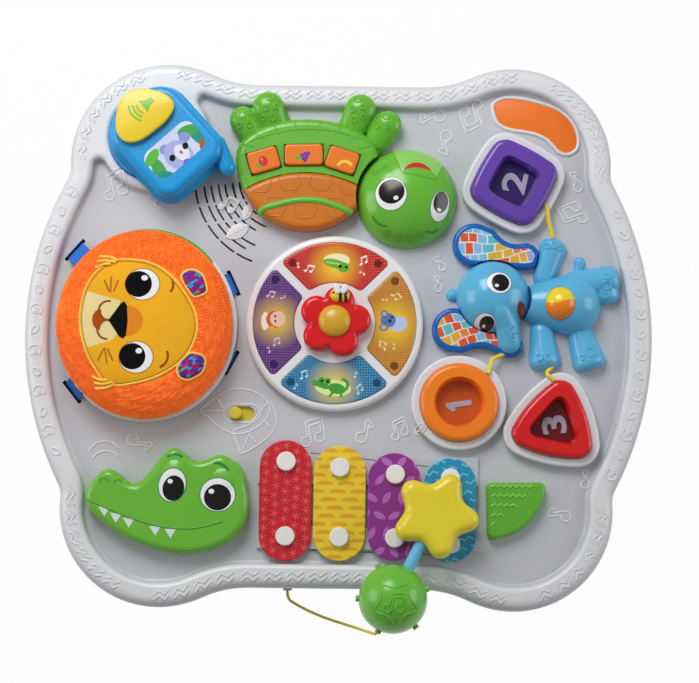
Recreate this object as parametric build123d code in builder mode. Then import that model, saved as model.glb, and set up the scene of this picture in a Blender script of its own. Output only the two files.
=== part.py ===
"""A baby's musical activity table, in millimetres.

A moulded table top on four snap-in legs carries a toy telephone, a turtle with
three keys, a soft lion drum, a spinning flower, an elephant with a tummy ball,
three shape buttons, four chime bars and a corded mallet.

Z is up, the floor is z = 0, the child stands at -Y, and the origin is under the
middle of the whole table, mallet included. Places on the table top are measured
from the middle of the top itself, and heights from the floor.
"""

import math
import os

from build123d import *

os.makedirs("parts", exist_ok=True)

# Table top
half_width = 250.0
half_depth = 202.0
lobe_inset = (111.0, 63.0)
lobe_radius = 79.0
side_radius = 265.0
neck_blend = 90.0
waist_blend = 20.0
deck_z = 340.0
rim_rise = 8.0
rim_width = 19.0
rim_roll = 9.0
bank_top_round = 4.5
bank_foot_round = 3.0
bank_blend = 5.0
wall = 2.6
skirt_drop = 24.0
tray_depth = 18.0
groove_inset = 8.0
rim_z = deck_z + rim_rise
deck_under_z = deck_z - wall
seam_z = deck_z - skirt_drop
base_z = seam_z - tray_depth
lobe_x = half_width - lobe_inset[0]
lobe_y = half_depth - lobe_inset[1]

# Running gaps
slide_gap = 0.4
seat_gap = 0.3
pin_gap = 0.06
under_deck_gap = 0.3

# Legs
socket_wall = 2.8
socket_radius = 24.0
socket_depth = 20.0
leg_gap = 0.2
shoulder_radius = 30.0
ankle_radius = 20.0
foot_radius = 25.0
foot_height = 16.0
leg_wall = 2.8

# Case screws and boards
case_screw_inset = 34.0
case_screw_places = [(side * (half_width - case_screw_inset), y) for side in (-1, 1) for y in (-30, 30)]
case_screw_places += [(x, side * (half_depth - case_screw_inset)) for side in (-1, 1) for x in (-75, 75)]
boss_radius = 4.5
screw_radius = 1.5
screw_gap = 0.05
screw_head_radius = 2.9
screw_head_height = 2.0
screw_recess = 8.0
screw_bite = 12.0
board_drop = 14.0
board_thick = 1.6
post_radius = 3.0
board_z = deck_z - board_drop
main_board = (120.0, 112.0)
main_post_inset = 8.0
main_post_spread = (main_board[0] - 2 * main_post_inset, main_board[1] - 2 * main_post_inset)
small_board_width = 16.0
dome_radius = 4.0
dome_spare = 0.3
plunger_radius = 3.0
plunger_drop = 8.0
led_radius = 2.5
led_hole_radius = 8.0
led_height = 10.0

# Battery box
battery_place = (0.0, -60.0)
battery_radius = 7.1
battery_length = 50.5
battery_pitch = 15.2
battery_count = 3
spring_room = 2.75
box_side_gap = 1.2
box_length = battery_length + 2 * spring_room
box_width = (battery_count - 1) * battery_pitch + 2 * (battery_radius + box_side_gap)
box_height = 16.0
box_wall = 3.0
door_length = 80.0
door_width = 54.0
door_gap = 0.3
flange_margin = 4.0
flange_thick = 2.0
door_screw_reach = 35.0
contact_thick = 0.8

# Telephone and its cradle
cradle_place = (-lobe_x - 11.5, lobe_y + 18.0)
cradle_radius = 36.5
cradle_lip = 8.0
cradle_edge_round = 3.0
cradle_dip = 3.0
phone_place = (cradle_place[0] + 10.4, cradle_place[1] - 6.7)
phone_turn = -47.5
phone_length = 81.0
phone_width = 66.0
phone_head_corner = 22.0
phone_foot_corner = 14.0
phone_base_height = 19.0
phone_case_height = 14.0
phone_base_flare = 3.0
phone_round = 6.0
phone_screen_place = (13.0, 0.0)
phone_screen_size = (27.0, 49.0)
phone_screen_corner = 8.0
phone_screen_thick = 1.0
phone_button_place = (-25.0, 0.0)
phone_button_size = (24.0, 43.0)
phone_button_corner = 9.0
phone_button_rise = 4.0
phone_button_travel = 2.0
antenna_root = (28.5, 29.5)
antenna_tip = (48.5, 22.5)
antenna_radius = 7.0
antenna_lift = 19.0

# Turtle
turtle_place = (-27.3, 141.5)
turtle_half_length = 57.0
turtle_front_reach = 60.5
turtle_back_reach = 30.5
turtle_height = 14.0
turtle_round = 6.0
shell_split_y = -13.9
shell_split_radius = 92.0
shell_rise = 1.5
shell_round = 4.5
flippers = [
    ((-68.0, 150.0), (-77.8, 168.0), 10.0, 10.8, 0.8),
    ((-48.0, 160.0), (-57.2, 179.2), 12.0, 12.4, 0.75),
    ((5.0, 160.0), (14.8, 178.6), 12.0, 12.2, 0.75),
    ((24.0, 152.0), (36.0, 168.5), 10.5, 11.2, 0.8),
]
key_places = [(-61.7, 136.5, 17.0), (-29.7, 141.5, 1.5), (1.0, 137.5, -18.0)]
key_sizes = [(24.5, 18.0), (30.5, 17.0), (24.5, 18.0)]
key_corner = 3.0
key_rise = 3.0
key_travel = 2.5
turtle_head_place = (53.2, 109.1)
turtle_head_radius = 40.4
turtle_head_height = 27.0
turtle_head_wall = 2.8
turtle_post_radius = 9.0
jaw_points = [(-17.0, 60.0), (-12.0, 38.5), (-4.5, 17.0), (22.5, 12.0), (29.5, 29.0), (45.0, 50.0)]
jaw_gap = 0.25

# Lion drum
lion_place = (-153.0, 5.0)
lion_half_length = 76.5
lion_half_width = 70.5
lion_height = 31.0
lion_top_round = 17.0
lion_foot_round = 8.0
lion_foot_gap = 2.8
face_place = (-156.5, 3.5)
face_half_length = 53.0
face_half_width = 47.5
face_thick = 2.4
ear_places = [(-113.5, 35.5, 40.0), (-114.5, -31.0, -40.0)]
ear_size = (24.0, 20.0)
ear_thick = 2.0
drum_plate_radius = 62.0
drum_plate_thick = 3.5
drum_stem_radius = 48.0
drum_stem_wall = 4.0
drum_travel = 2.0
drum_tab_reach = 2.2
drum_tab_width = 12.0
strap_places = [(-212.3, 64.5, 49.0), (-211.0, -49.8, -51.0), (-84.6, 39.4, -65.0), (-84.9, -25.0, 62.0)]
strap_width = 17.0
strap_thick = 1.6
strap_rise = 11.0
strap_bite = 2.5
strap_slot = (22.0, 3.2)

# Speaker grille
grille_place = (-45.1, 116.9)
grille_radii = [36.8, 42.3, 48.4, 53.7, 59.6, 65.3, 72.5]
grille_start = 187.0
grille_span = 70.0
grille_slot = 1.5
grille_dash = 13.0
grille_bridge = 3.5
speaker_place = (-92.0, 82.0)
speaker_radius = 28.0
speaker_depth = 13.0

# Light dial and flower
dial_place = (-3.2, 7.2)
dial_radius = 70.4
dial_height = 9.0
dial_round = 4.0
lens_outer_radius = 65.0
lens_inner_radius = 32.0
spoke_width = 6.5
lens_corner = 4.0
lens_seat = 4.0
lens_rise = 0.8
lens_gap = 0.15
lens_turns = {"top": 90.0, "right": 0.0, "bottom": -90.0, "left": 180.0}
flower_post_radius = 4.0
petal_count = 5
petal_start = 78.0
petal_reach = 16.5
petal_radius = 12.3
petal_thick = 11.0
petal_round = 4.8
flower_gap = 0.4
flower_cap_radius = 12.6
flower_cap_height = 7.0
bee_place = (4.0, 20.5)
bee_length = 15.5
bee_width = 11.0

# Elephant
torso = ((160.0, 25.0), (184.5, 25.0), 17.5, 24.6, 1.0)
limbs = [
    ((163.5, 46.0), (169.6, 66.5), 8.5, 11.0, 0.55),
    ((161.8, 3.0), (163.6, -15.0), 9.5, 12.8, 0.6),
    ((190.0, 41.0), (211.0, 44.0), 12.5, 12.5, 0.6),
    ((211.0, 44.0), (212.6, 36.8), 12.0, 11.2, 0.6),
    ((192.5, 1.0), (197.4, -14.0), 10.0, 13.6, 0.5),
    ((190.8, 50.0), (192.4, 59.6), 3.0, 4.6, 1.0),
]
elephant_head_place = (122.9, 30.0)
elephant_head_radius = 29.5
elephant_head_height = 27.0
trunk = ((128.0, 20.0), (136.6, -5.0), 12.5, 8.8, 1.0)
head_nub = ((100.0, 32.0), (90.6, 31.8), 4.5, 5.2, 1.0)
ears = [
    ((107.5, 72.0), (149.5, 63.0), 17.4, 10.4, (142.0, 93.0), 20.0),
    ((91.5, 3.3), (137.5, -9.0), 17.4, 9.2, (112.5, -36.0), 25.0),
]
ear_notch_round = 7.0
ear_height = 8.0
ear_round = 3.0
ear_frame = 4.5
ear_panel_depth = 1.5
tummy_place = (176.0, 24.0)
tummy_radius = 13.8
tummy_lift = 14.0
tummy_pin_radius = 2.0
tummy_pin_reach = 18.0

# Shape buttons
circle_place = (95.9, -55.0)
circle_radius = 31.0
square_place = (138.6, 122.4)
square_reach = 38.5
square_bulge = 2.4
square_corner = 12.0
square_turn = -28.5
triangle_place = (171.3, -71.0)
triangle_reach = 39.5
triangle_bulge = 5.8
triangle_corner = 11.5
triangle_turn = 78.3
collar_width = 6.2
collar_height = 9.0
collar_round = 2.0
button_height = 16.0
button_round = 4.5
button_ring = 11.0
square_frame = 15.5
triangle_frame = 13.0
window_bulge = 1.2
window_corner = 6.5
window_depth = 12.0
window_draw = 3.0
button_lip = 2.0
button_lip_thick = 1.5
button_travel = 3.0
button_hollow = 2.4
button_board_reach = 41.0

# Strings from the elephant to its balloons
string_radius = 1.7
strings = [
    [(165.0, 104.0, 11.0), (166.5, 92.0, 9.5), (170.0, 78.5, 8.0)],
    [(131.5, -15.5, 6.0), (122.0, -20.0, 8.5), (118.5, -32.0, 11.0)],
    [(169.5, -25.5, 7.0), (163.8, -31.0, 9.5), (171.5, -36.5, 11.0)],
]

# Crocodile
croc_points = [
    (-196, -134), (-190, -119), (-178, -111), (-160, -122), (-143, -108), (-126, -94), (-108, -104),
    (-93, -99), (-70, -125), (-76, -160), (-113, -176), (-155, -168), (-184, -151),
]
croc_height = 17.0
croc_round = 6.0
tail_corners = [(117.5, -117.5), (164.5, -117.0), (118.5, -162.0)]
tail_bulge = (153.5, -146.5)
tail_height = 10.0
tail_corner = 5.0
tail_round = 3.5

# Chime bars
bar_width = 41.0
bar_thick = 4.0
bar_round = 0.8
bars = {
    "red": (-40.0, -133.6, 94.5),
    "yellow": (2.6, -135.3, 90.0),
    "purple": (45.3, -137.4, 84.0),
    "blue": (89.4, -139.5, 81.5),
}
peg_places = [
    (-39.7, -103.0), (-39.6, -161.4), (2.6, -107.2), (2.6, -161.6),
    (46.2, -112.1), (46.2, -161.8), (89.5, -114.6), (89.5, -165.9),
]
peg_head_radius = 7.5
peg_head_height = 4.0
peg_stem_radius = 3.5
peg_hole_gap = 0.5
rail_height = 3.0
rail_ends = (-62.0, 111.5)
rail_spans = [(-120.0, -98.0), (-171.0, -153.0)]

# Volume slider
slider_place = (-75.8, -65.0)
slider_slot = (20.0, 11.4)
slider_knob_radius = 4.9
slider_knob_rise = 5.0
slider_plate = (46.0, 16.0)
slider_plate_thick = 2.0
slider_travel = 9.5

# Mallet and its cord
star_place = (77.0, -144.0)
star_reach = 44.0
star_waist = 23.0
star_thick = 22.0
star_tip_round = 9.0
star_edge_round = 7.5
handle_seat = 3.0
star_centre_rise = 16.9
ball_place = (44.6, -208.5)
ball_radius = 26.4
ball_rest_gap = 0.1
nub_radius = 2.4
nub_rise = 2.2
nub_turns = [115.0, 17.0, 180.0, -50.0, -114.0]
handle_radius = 4.6
cord_radius = 1.1
cord_exit = (-38.0, -27.0)
cord_boss_radius = 3.6
cord_boss_rise = 2.0
cord_ball_turn = -114.0
cord_ball_dip = -35.0
cord_nub_radius = 2.6
cord_nub_rise = 1.6
cord_middle = [
    (-38.0, -214.0, -27.0), (-36.5, -219.5, -36.5), (-29.5, -221.0, -48.0), (-17.5, -223.5, -57.0),
    (-3.5, -226.5, -59.0), (9.0, -230.0, -51.5), (18.5, -234.5, -39.0), (25.5, -237.0, -24.5),
    (30.0, -237.3, -10.5),
]

table_y = (ball_radius - ball_place[1] - half_depth) / 2 - (lobe_y + lobe_radius - half_depth) / 2


def spot(x, y, z=0.0, turn=0.0):
    """A level plane at a place on the table top, with its X turned by some degrees."""
    return Plane(origin=(x, y + table_y, z)).rotated((0, 0, turn))


def grown(shape, amount):
    """An outline moved outwards by some amount and redrawn with plain lines and arcs."""
    with BuildSketch(mode=Mode.PRIVATE) as moved:
        offset(shape, amount=amount)
    with BuildSketch(mode=Mode.PRIVATE) as redrawn:
        with BuildLine():
            for edge in moved.face().outer_wire().edges():
                if edge.geom_type == GeomType.LINE:
                    Line(edge @ 0, edge @ 1)
                elif edge.is_closed:
                    CenterArc(edge.arc_center, edge.radius, 0, 360)
                else:
                    ThreePointArc(edge @ 0, edge @ 0.5, edge @ 1)
        make_face()
    return redrawn.sketch


def tapered_slot(start, end, start_radius, end_radius, blunt, grow=0.0):
    """The flat outline of a limb with a round root, whose foot is round or, if blunt is below 1, flatter."""
    run = math.dist(start, end)
    along = ((end[0] - start[0]) / run, (end[1] - start[1]) / run)
    corner = blunt * end_radius
    inset = end_radius - corner
    with BuildSketch(mode=Mode.PRIVATE) as shape:
        with Locations(start):
            Circle(start_radius + grow)
        for side in (-1, 1) if blunt < 1 else (0,):
            corner_x = end[0] + inset * (along[0] - side * along[1])
            corner_y = end[1] + inset * (along[1] + side * along[0])
            with Locations((corner_x, corner_y)):
                Circle(corner + grow)
        make_hull()
    return shape.sketch


def lying_limb(start, end, start_radius, end_radius, blunt, foot_z, arc=180):
    """A tapering rod that lies on the deck, by default its upper half."""
    run = math.dist(start, end)
    turn = math.degrees(math.atan2(end[1] - start[1], end[0] - start[0]))
    plane = spot(*start, foot_z, turn)
    reach = start_radius + run + end_radius
    deep = max(start_radius, end_radius)
    with BuildPart(mode=Mode.PRIVATE) as limb:
        with BuildSketch(plane):
            add(tapered_slot((0, 0), (run, 0), start_radius, end_radius, blunt))
            with Locations((-start_radius, 0)):
                Rectangle(reach, deep, align=(Align.MIN, Align.MIN), mode=Mode.INTERSECT)
        revolve(axis=Axis(plane.origin, plane.x_dir), revolution_arc=arc)
    return limb.part


def ear_shape(start, end, start_radius, end_radius, notch_place, notch_radius, inset=0.0):
    """The flat outline of an ear, hollow on its outer side, moved inwards by some amount."""
    hollow = notch_radius + inset
    with BuildSketch(mode=Mode.PRIVATE) as shape:
        add(tapered_slot(start, end, start_radius, end_radius, 1.0, grow=-inset))
        with Locations(notch_place):
            Circle(hollow, mode=Mode.SUBTRACT)
        fillet(
            shape.vertices().filter_by(lambda v: abs(math.dist((v.X, v.Y), notch_place) - hollow) < 0.01),
            radius=ear_notch_round - inset,
        )
    return shape.sketch


def bulged_polygon(reach, sides, bulge, corner, turn):
    """A regular outline whose sides swell outwards and whose corners are round."""
    middle = reach * math.cos(math.pi / sides) + bulge
    points = []
    for half_step in range(2 * sides + 1):
        bearing = math.radians(turn + 180 * half_step / sides)
        distance = middle if half_step % 2 else reach
        points.append((distance * math.cos(bearing), distance * math.sin(bearing)))
    points[-1] = points[0]
    with BuildSketch(mode=Mode.PRIVATE) as shape:
        with BuildLine():
            for side in range(sides):
                ThreePointArc(*points[2 * side:2 * side + 3])
        make_face()
        fillet(shape.vertices(), radius=corner)
    return shape.sketch


def window_shape(name, inset):
    """The outline of a shape button's window, moved inwards by some amount."""
    if name not in polygon_windows:
        with BuildSketch(mode=Mode.PRIVATE) as shape:
            Circle(circle_radius - button_ring - inset)
        return shape.sketch
    reach, sides, turn = polygon_windows[name]
    return bulged_polygon(
        reach - inset / math.cos(math.pi / sides), sides, window_bulge, window_corner - inset, turn
    )


def level_faces(block, z):
    """The flat faces of a block that lie at one height."""
    return block.faces().filter_by(Plane.XY).filter_by(lambda face: abs(face.center().Z - z) < 0.01)


def dome(x, y, z, radius, height):
    """A low elliptical dome standing at a place on the table top."""
    quarter = 0.5523
    with BuildPart(mode=Mode.PRIVATE) as low_dome:
        with BuildSketch(Plane(origin=(x, y + table_y, z), x_dir=(1, 0, 0), z_dir=(0, -1, 0))):
            with BuildLine():
                Bezier((radius, 0), (radius, quarter * height), (quarter * radius, height), (0, height))
                Line((0, height), (0, 0))
                Line((0, 0), (radius, 0))
            make_face()
        revolve(axis=Axis((x, y + table_y, z), (0, 0, 1)))
    return low_dome.part


# Outlines that several pieces share

with BuildSketch() as outline:
    Rectangle(2 * lobe_x, 2 * half_depth)
    with GridLocations(2 * lobe_x, 2 * lobe_y, 2, 2):
        Circle(lobe_radius)
    with BuildSketch(mode=Mode.PRIVATE) as side_lens:
        with Locations((half_width - side_radius, 0)):
            Circle(side_radius)
        with Locations((side_radius - half_width, 0)):
            Circle(side_radius, mode=Mode.INTERSECT)
        Rectangle(4 * half_width, 2 * lobe_y, mode=Mode.INTERSECT)
    add(side_lens.sketch)
    fillet(outline.vertices().filter_by(lambda v: abs(v.X) < lobe_x), radius=neck_blend)
    fillet(
        outline.vertices().filter_by(lambda v: abs(v.X) > lobe_x and abs(v.Y) < lobe_y),
        radius=waist_blend,
    )

with BuildSketch() as circle_outline:
    Circle(circle_radius)

square_shape = bulged_polygon(square_reach, 4, square_bulge, square_corner, square_turn + 45)
triangle_shape = bulged_polygon(triangle_reach, 3, triangle_bulge, triangle_corner, triangle_turn)
button_shapes = {
    "circle": (circle_outline.sketch, circle_place),
    "square": (square_shape, square_place),
    "triangle": (triangle_shape, triangle_place),
}
polygon_windows = {
    "square": (square_reach - square_frame, 4, square_turn + 45),
    "triangle": (triangle_reach - triangle_frame, 3, triangle_turn),
}

with BuildSketch() as recess_core:
    add(grown(outline.sketch, -rim_width - bank_blend))
    with Locations(cradle_place):
        Circle(cradle_radius + cradle_lip + bank_blend, mode=Mode.SUBTRACT)
recess = grown(recess_core.sketch, bank_blend)

with BuildSketch() as phone_outline:
    Rectangle(phone_length, phone_width)
    fillet(phone_outline.vertices().group_by(Axis.X)[0], radius=phone_head_corner)
    fillet(phone_outline.vertices().group_by(Axis.X)[-1], radius=phone_foot_corner)

with BuildSketch() as turtle_outline:
    turtle_span = 3 * turtle_half_length
    Ellipse(turtle_half_length, turtle_front_reach)
    Rectangle(turtle_span, turtle_front_reach, align=(Align.CENTER, Align.MAX), mode=Mode.INTERSECT)
    with BuildSketch(mode=Mode.PRIVATE) as turtle_back:
        Ellipse(turtle_half_length, turtle_back_reach)
        Rectangle(turtle_span, turtle_back_reach, align=(Align.CENTER, Align.MIN), mode=Mode.INTERSECT)
    add(turtle_back.sketch)

with BuildSketch() as shell_outline:
    add(turtle_outline.sketch)
    with Locations((0, shell_split_y - shell_split_radius)):
        Circle(shell_split_radius, mode=Mode.INTERSECT)

with BuildSketch() as lens_outline:
    Circle(lens_outer_radius)
    Circle(lens_inner_radius, mode=Mode.SUBTRACT)
    with BuildSketch(mode=Mode.PRIVATE) as wedge:
        with BuildLine():
            half_spoke = spoke_width / 2 * math.sqrt(2)
            Polyline((half_spoke, 0), (100 + half_spoke, 100), (100 + half_spoke, -100), close=True)
        make_face()
    add(wedge.sketch, mode=Mode.INTERSECT)
    fillet(lens_outline.vertices(), radius=lens_corner)

head_clear_radius = turtle_head_radius + 0.5
phone_floor_z = deck_z - cradle_dip
dial_top_z = deck_z + dial_height
flower_z = dial_top_z + flower_gap
bar_z = deck_z + rail_height
bar_top_z = bar_z + bar_thick
plunger_z = deck_z - plunger_drop
lion_z = deck_z + lion_foot_gap
drum_top_z = lion_z + 4.5
board_places = {
    "keys": (-30.0, 138.5, 96.0, small_board_width, 0.0),
    "drum": (*lion_place, 2 * (drum_stem_radius + 8), small_board_width, 90.0),
}
board_turns = {"circle": 90.0, "square": square_turn + 90, "triangle": triangle_turn - 30}
for shape_name, (shape_sketch, shape_place) in button_shapes.items():
    board_length = 2 * button_board_reach
    board_places[shape_name] = (*shape_place, board_length, small_board_width, board_turns[shape_name])


# Housing

with BuildPart() as top_shell:
    with BuildSketch(spot(0, 0, seam_z)):
        add(outline.sketch)
    extrude(amount=rim_z - seam_z)
    fillet(top_shell.faces().sort_by(Axis.Z)[-1].edges(), radius=rim_roll)
    with BuildSketch(spot(0, 0, deck_z)):
        add(recess)
    extrude(amount=rim_rise, mode=Mode.SUBTRACT)
    fillet(level_faces(top_shell, rim_z)[0].inner_wires()[0].edges(), radius=bank_top_round)
    fillet(level_faces(top_shell, deck_z)[0].outer_wire().edges(), radius=bank_foot_round)
    with BuildSketch(spot(0, 0, seam_z)):
        add(grown(outline.sketch, -wall))
    extrude(amount=deck_under_z - seam_z, mode=Mode.SUBTRACT)
    with BuildSketch(spot(0, 0, deck_under_z)):
        add(grown(outline.sketch, -groove_inset))
        add(grown(outline.sketch, wall - rim_width), mode=Mode.SUBTRACT)
        with Locations(cradle_place):
            Circle(cradle_radius + wall, mode=Mode.SUBTRACT)
    extrude(amount=rim_rise, mode=Mode.SUBTRACT)
    with BuildSketch(spot(*cradle_place, deck_under_z - cradle_dip)):
        Circle(cradle_radius + wall)
    extrude(amount=cradle_dip)
    with BuildSketch(spot(*cradle_place, deck_z - cradle_dip)):
        Circle(cradle_radius)
    extrude(amount=cradle_dip + rim_rise, mode=Mode.SUBTRACT)
    fillet(
        level_faces(top_shell, rim_z)[0].edges().filter_by(GeomType.CIRCLE).filter_by(
            lambda edge: abs(edge.radius - cradle_radius) < 0.01
        ),
        radius=cradle_edge_round,
    )
    for shape_sketch, shape_place in button_shapes.values():
        with BuildSketch(spot(*shape_place, deck_z)):
            add(grown(shape_sketch, slide_gap + collar_width))
        extrude(amount=collar_height)
    fillet(level_faces(top_shell, deck_z + collar_height).edges(), radius=collar_round)
    for shape_sketch, shape_place in button_shapes.values():
        with BuildSketch(spot(*shape_place, deck_under_z)):
            add(grown(shape_sketch, slide_gap))
        extrude(amount=wall + collar_height, mode=Mode.SUBTRACT)
    with BuildSketch(spot(0, 0, deck_under_z)):
        with Locations(lion_place):
            Circle(drum_stem_radius + slide_gap)
        with Locations(turtle_head_place):
            Circle(turtle_post_radius + pin_gap)
        with Locations(slider_place):
            SlotOverall(*slider_slot)
        for key_x, key_y, key_turn in key_places:
            with Locations((key_x, key_y)):
                Circle(plunger_radius + slide_gap)
        for slot_x, slot_y, slot_turn in strap_places:
            with Locations((slot_x, slot_y)):
                Rectangle(*strap_slot, rotation=slot_turn)
        with Locations(dial_place):
            with PolarLocations((lens_outer_radius + lens_inner_radius) / 2, 4):
                Circle(led_hole_radius)
        for peg_place in peg_places:
            with Locations(peg_place):
                Circle(peg_stem_radius + pin_gap)
        for radius in grille_radii:
            dash = math.degrees(grille_dash / radius)
            pitch = math.degrees((grille_dash + grille_bridge) / radius)
            for place in range(int(grille_span / pitch)):
                arc = CenterArc(grille_place, radius, grille_start + place * pitch, dash, mode=Mode.PRIVATE)
                SlotArc(arc, grille_slot)
    extrude(amount=wall, mode=Mode.SUBTRACT)
    with BuildSketch(spot(0, 0, deck_z)):
        for low, high in rail_spans:
            with Locations(((rail_ends[0] + rail_ends[1]) / 2, (low + high) / 2)):
                Rectangle(rail_ends[1] - rail_ends[0], high - low)
        for peg_place in peg_places:
            with Locations(peg_place):
                Circle(peg_stem_radius + pin_gap, mode=Mode.SUBTRACT)
    extrude(amount=rail_height)
    with BuildSketch(spot(0, 0, seam_z)):
        for screw_place in case_screw_places:
            with Locations(screw_place):
                Circle(boss_radius)
                Circle(screw_radius + screw_gap, mode=Mode.SUBTRACT)
    extrude(amount=deck_under_z - seam_z)
    with BuildSketch(spot(0, 0, board_z)):
        for board_x, board_y, length, width, turn in board_places.values():
            with Locations(Location((board_x, board_y, 0), (0, 0, turn))):
                with GridLocations(length - 2 * post_radius, 1, 2, 1):
                    Circle(post_radius)
        with Locations(dial_place):
            with GridLocations(*main_post_spread, 2, 2):
                Circle(post_radius)
    extrude(amount=deck_under_z - board_z)
    with BuildSketch(Plane.XZ.offset(half_depth - table_y)):
        with Locations((cord_exit[0], rim_z + cord_exit[1])):
            Circle(cord_boss_radius)
    extrude(amount=cord_boss_rise)

with BuildPart() as bottom_shell:
    with BuildSketch(spot(0, 0, base_z)):
        add(outline.sketch)
    extrude(amount=tray_depth)
    fillet(bottom_shell.faces().sort_by(Axis.Z)[0].edges(), radius=5)
    with BuildSketch(spot(0, 0, base_z + wall)):
        add(grown(outline.sketch, -wall))
    extrude(amount=tray_depth - wall, mode=Mode.SUBTRACT)
    with BuildSketch(spot(0, 0, base_z)):
        for screw_place in case_screw_places:
            with Locations(screw_place):
                Circle(boss_radius)
    extrude(amount=tray_depth)
    with BuildSketch(spot(0, 0, base_z)):
        for screw_place in case_screw_places:
            with Locations(screw_place):
                Circle(screw_radius + screw_gap)
    extrude(amount=tray_depth, mode=Mode.SUBTRACT)
    with BuildSketch(spot(0, 0, base_z)):
        for screw_place in case_screw_places:
            with Locations(screw_place):
                Circle(screw_head_radius + slide_gap)
    extrude(amount=screw_recess, mode=Mode.SUBTRACT)
    with BuildSketch(spot(0, 0, base_z)):
        with GridLocations(2 * lobe_x, 2 * lobe_y, 2, 2):
            Circle(socket_radius + leg_gap + socket_wall)
    extrude(amount=socket_depth + leg_gap + socket_wall)
    with BuildSketch(spot(0, 0, base_z)):
        with GridLocations(2 * lobe_x, 2 * lobe_y, 2, 2):
            Circle(socket_radius + leg_gap)
    extrude(amount=socket_depth + leg_gap, mode=Mode.SUBTRACT)
    with BuildSketch(spot(*battery_place, base_z + wall)):
        Rectangle(door_length + 2 * flange_margin, door_width + 2 * flange_margin)
    extrude(amount=flange_thick)
    with BuildSketch(spot(*battery_place, base_z + wall)):
        Rectangle(box_length + 2 * box_wall, box_width + 2 * box_wall)
    extrude(amount=box_height + box_wall)
    with BuildSketch(spot(*battery_place, base_z + wall)):
        with Locations((door_screw_reach, 0)):
            Circle(boss_radius)
    extrude(amount=screw_recess)
    with BuildSketch(spot(*battery_place, base_z)):
        Rectangle(door_length + 2 * door_gap, door_width + 2 * door_gap)
    extrude(amount=wall, mode=Mode.SUBTRACT)
    with BuildSketch(spot(*battery_place, base_z + wall)):
        Rectangle(box_length, box_width)
    extrude(amount=box_height, mode=Mode.SUBTRACT)
    with BuildSketch(spot(*battery_place, base_z + wall)):
        with Locations((door_screw_reach, 0)):
            Circle(screw_radius + screw_gap)
    extrude(amount=screw_recess - 1, mode=Mode.SUBTRACT)

with BuildPart() as case_screws:
    with BuildSketch(spot(0, 0, base_z + screw_recess - screw_head_height)):
        for screw_place in case_screw_places:
            with Locations(screw_place):
                Circle(screw_head_radius)
    extrude(amount=screw_head_height)
    with BuildSketch(spot(0, 0, base_z + screw_recess)):
        for screw_place in case_screw_places:
            with Locations(screw_place):
                Circle(screw_radius)
    extrude(amount=tray_depth - screw_recess + screw_bite)

with BuildPart() as battery_door:
    with BuildSketch(spot(*battery_place, base_z)):
        Rectangle(door_length, door_width)
    extrude(amount=wall)
    fillet(battery_door.edges().filter_by(Axis.Z), radius=3)
    with BuildSketch(spot(*battery_place, base_z)):
        with Locations((door_screw_reach, 0)):
            Circle(screw_radius + screw_gap)
    extrude(amount=wall, mode=Mode.SUBTRACT)
    with BuildSketch(spot(*battery_place, base_z)):
        with Locations((door_screw_reach, 0)):
            Circle(screw_head_radius + pin_gap)
    extrude(amount=screw_head_height / 2, mode=Mode.SUBTRACT)
    with BuildSketch(spot(*battery_place, base_z)):
        with Locations((-door_length / 2 + 8, 0)):
            with GridLocations(3, 1, 3, 1):
                SlotOverall(22, 1.4, rotation=90)
    extrude(amount=0.6, mode=Mode.SUBTRACT)

with BuildPart() as door_screw:
    with BuildSketch(spot(*battery_place, base_z)):
        with Locations((door_screw_reach, 0)):
            Circle(screw_head_radius)
    extrude(amount=screw_head_height / 2)
    with BuildSketch(spot(*battery_place, base_z)):
        with Locations((door_screw_reach, 0)):
            Circle(screw_radius)
    extrude(amount=wall + screw_recess - 2)

with BuildPart() as batteries:
    with BuildSketch(spot(*battery_place, base_z + wall + battery_radius + seat_gap).rotated((0, 90, 0))):
        with GridLocations(1, battery_pitch, 1, battery_count):
            Circle(battery_radius)
    extrude(amount=battery_length / 2 - 1, both=True)
    with BuildSketch(spot(*battery_place, base_z + wall + battery_radius + seat_gap).rotated((0, 90, 0))):
        with GridLocations(1, battery_pitch, 1, battery_count):
            Circle(battery_radius * 0.38)
    extrude(amount=battery_length / 2, both=True)

with BuildPart() as battery_contacts:
    contact_height = 2 * battery_radius - 1
    spring_reach = spring_room - contact_thick
    with BuildSketch(spot(*battery_place, base_z + wall + seat_gap)):
        with GridLocations(box_length - contact_thick, battery_pitch, 2, battery_count):
            Rectangle(contact_thick, battery_pitch - 2)
    extrude(amount=contact_height)
    with BuildSketch(spot(*battery_place, base_z + wall + seat_gap)):
        with GridLocations(box_length - 2 * contact_thick - spring_reach, battery_pitch, 2, battery_count):
            Rectangle(spring_reach, 5)
    extrude(amount=contact_height - 3)

with BuildPart() as circuit_board:
    with BuildSketch(spot(0, 0, board_z - board_thick)):
        with Locations(dial_place):
            Rectangle(*main_board)
        for board_x, board_y, length, width, turn in board_places.values():
            with Locations((board_x, board_y)):
                Rectangle(length, width, rotation=turn)
    extrude(amount=board_thick)

with BuildPart() as leds:
    with Locations(spot(*dial_place, board_z)):
        with PolarLocations((lens_outer_radius + lens_inner_radius) / 2, 4):
            Cylinder(led_radius, led_height, align=(Align.CENTER, Align.CENTER, Align.MIN))
    fillet(leds.faces().filter_by(Plane.XY).group_by(Axis.Z)[-1].edges(), radius=led_radius * 0.9)

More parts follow.
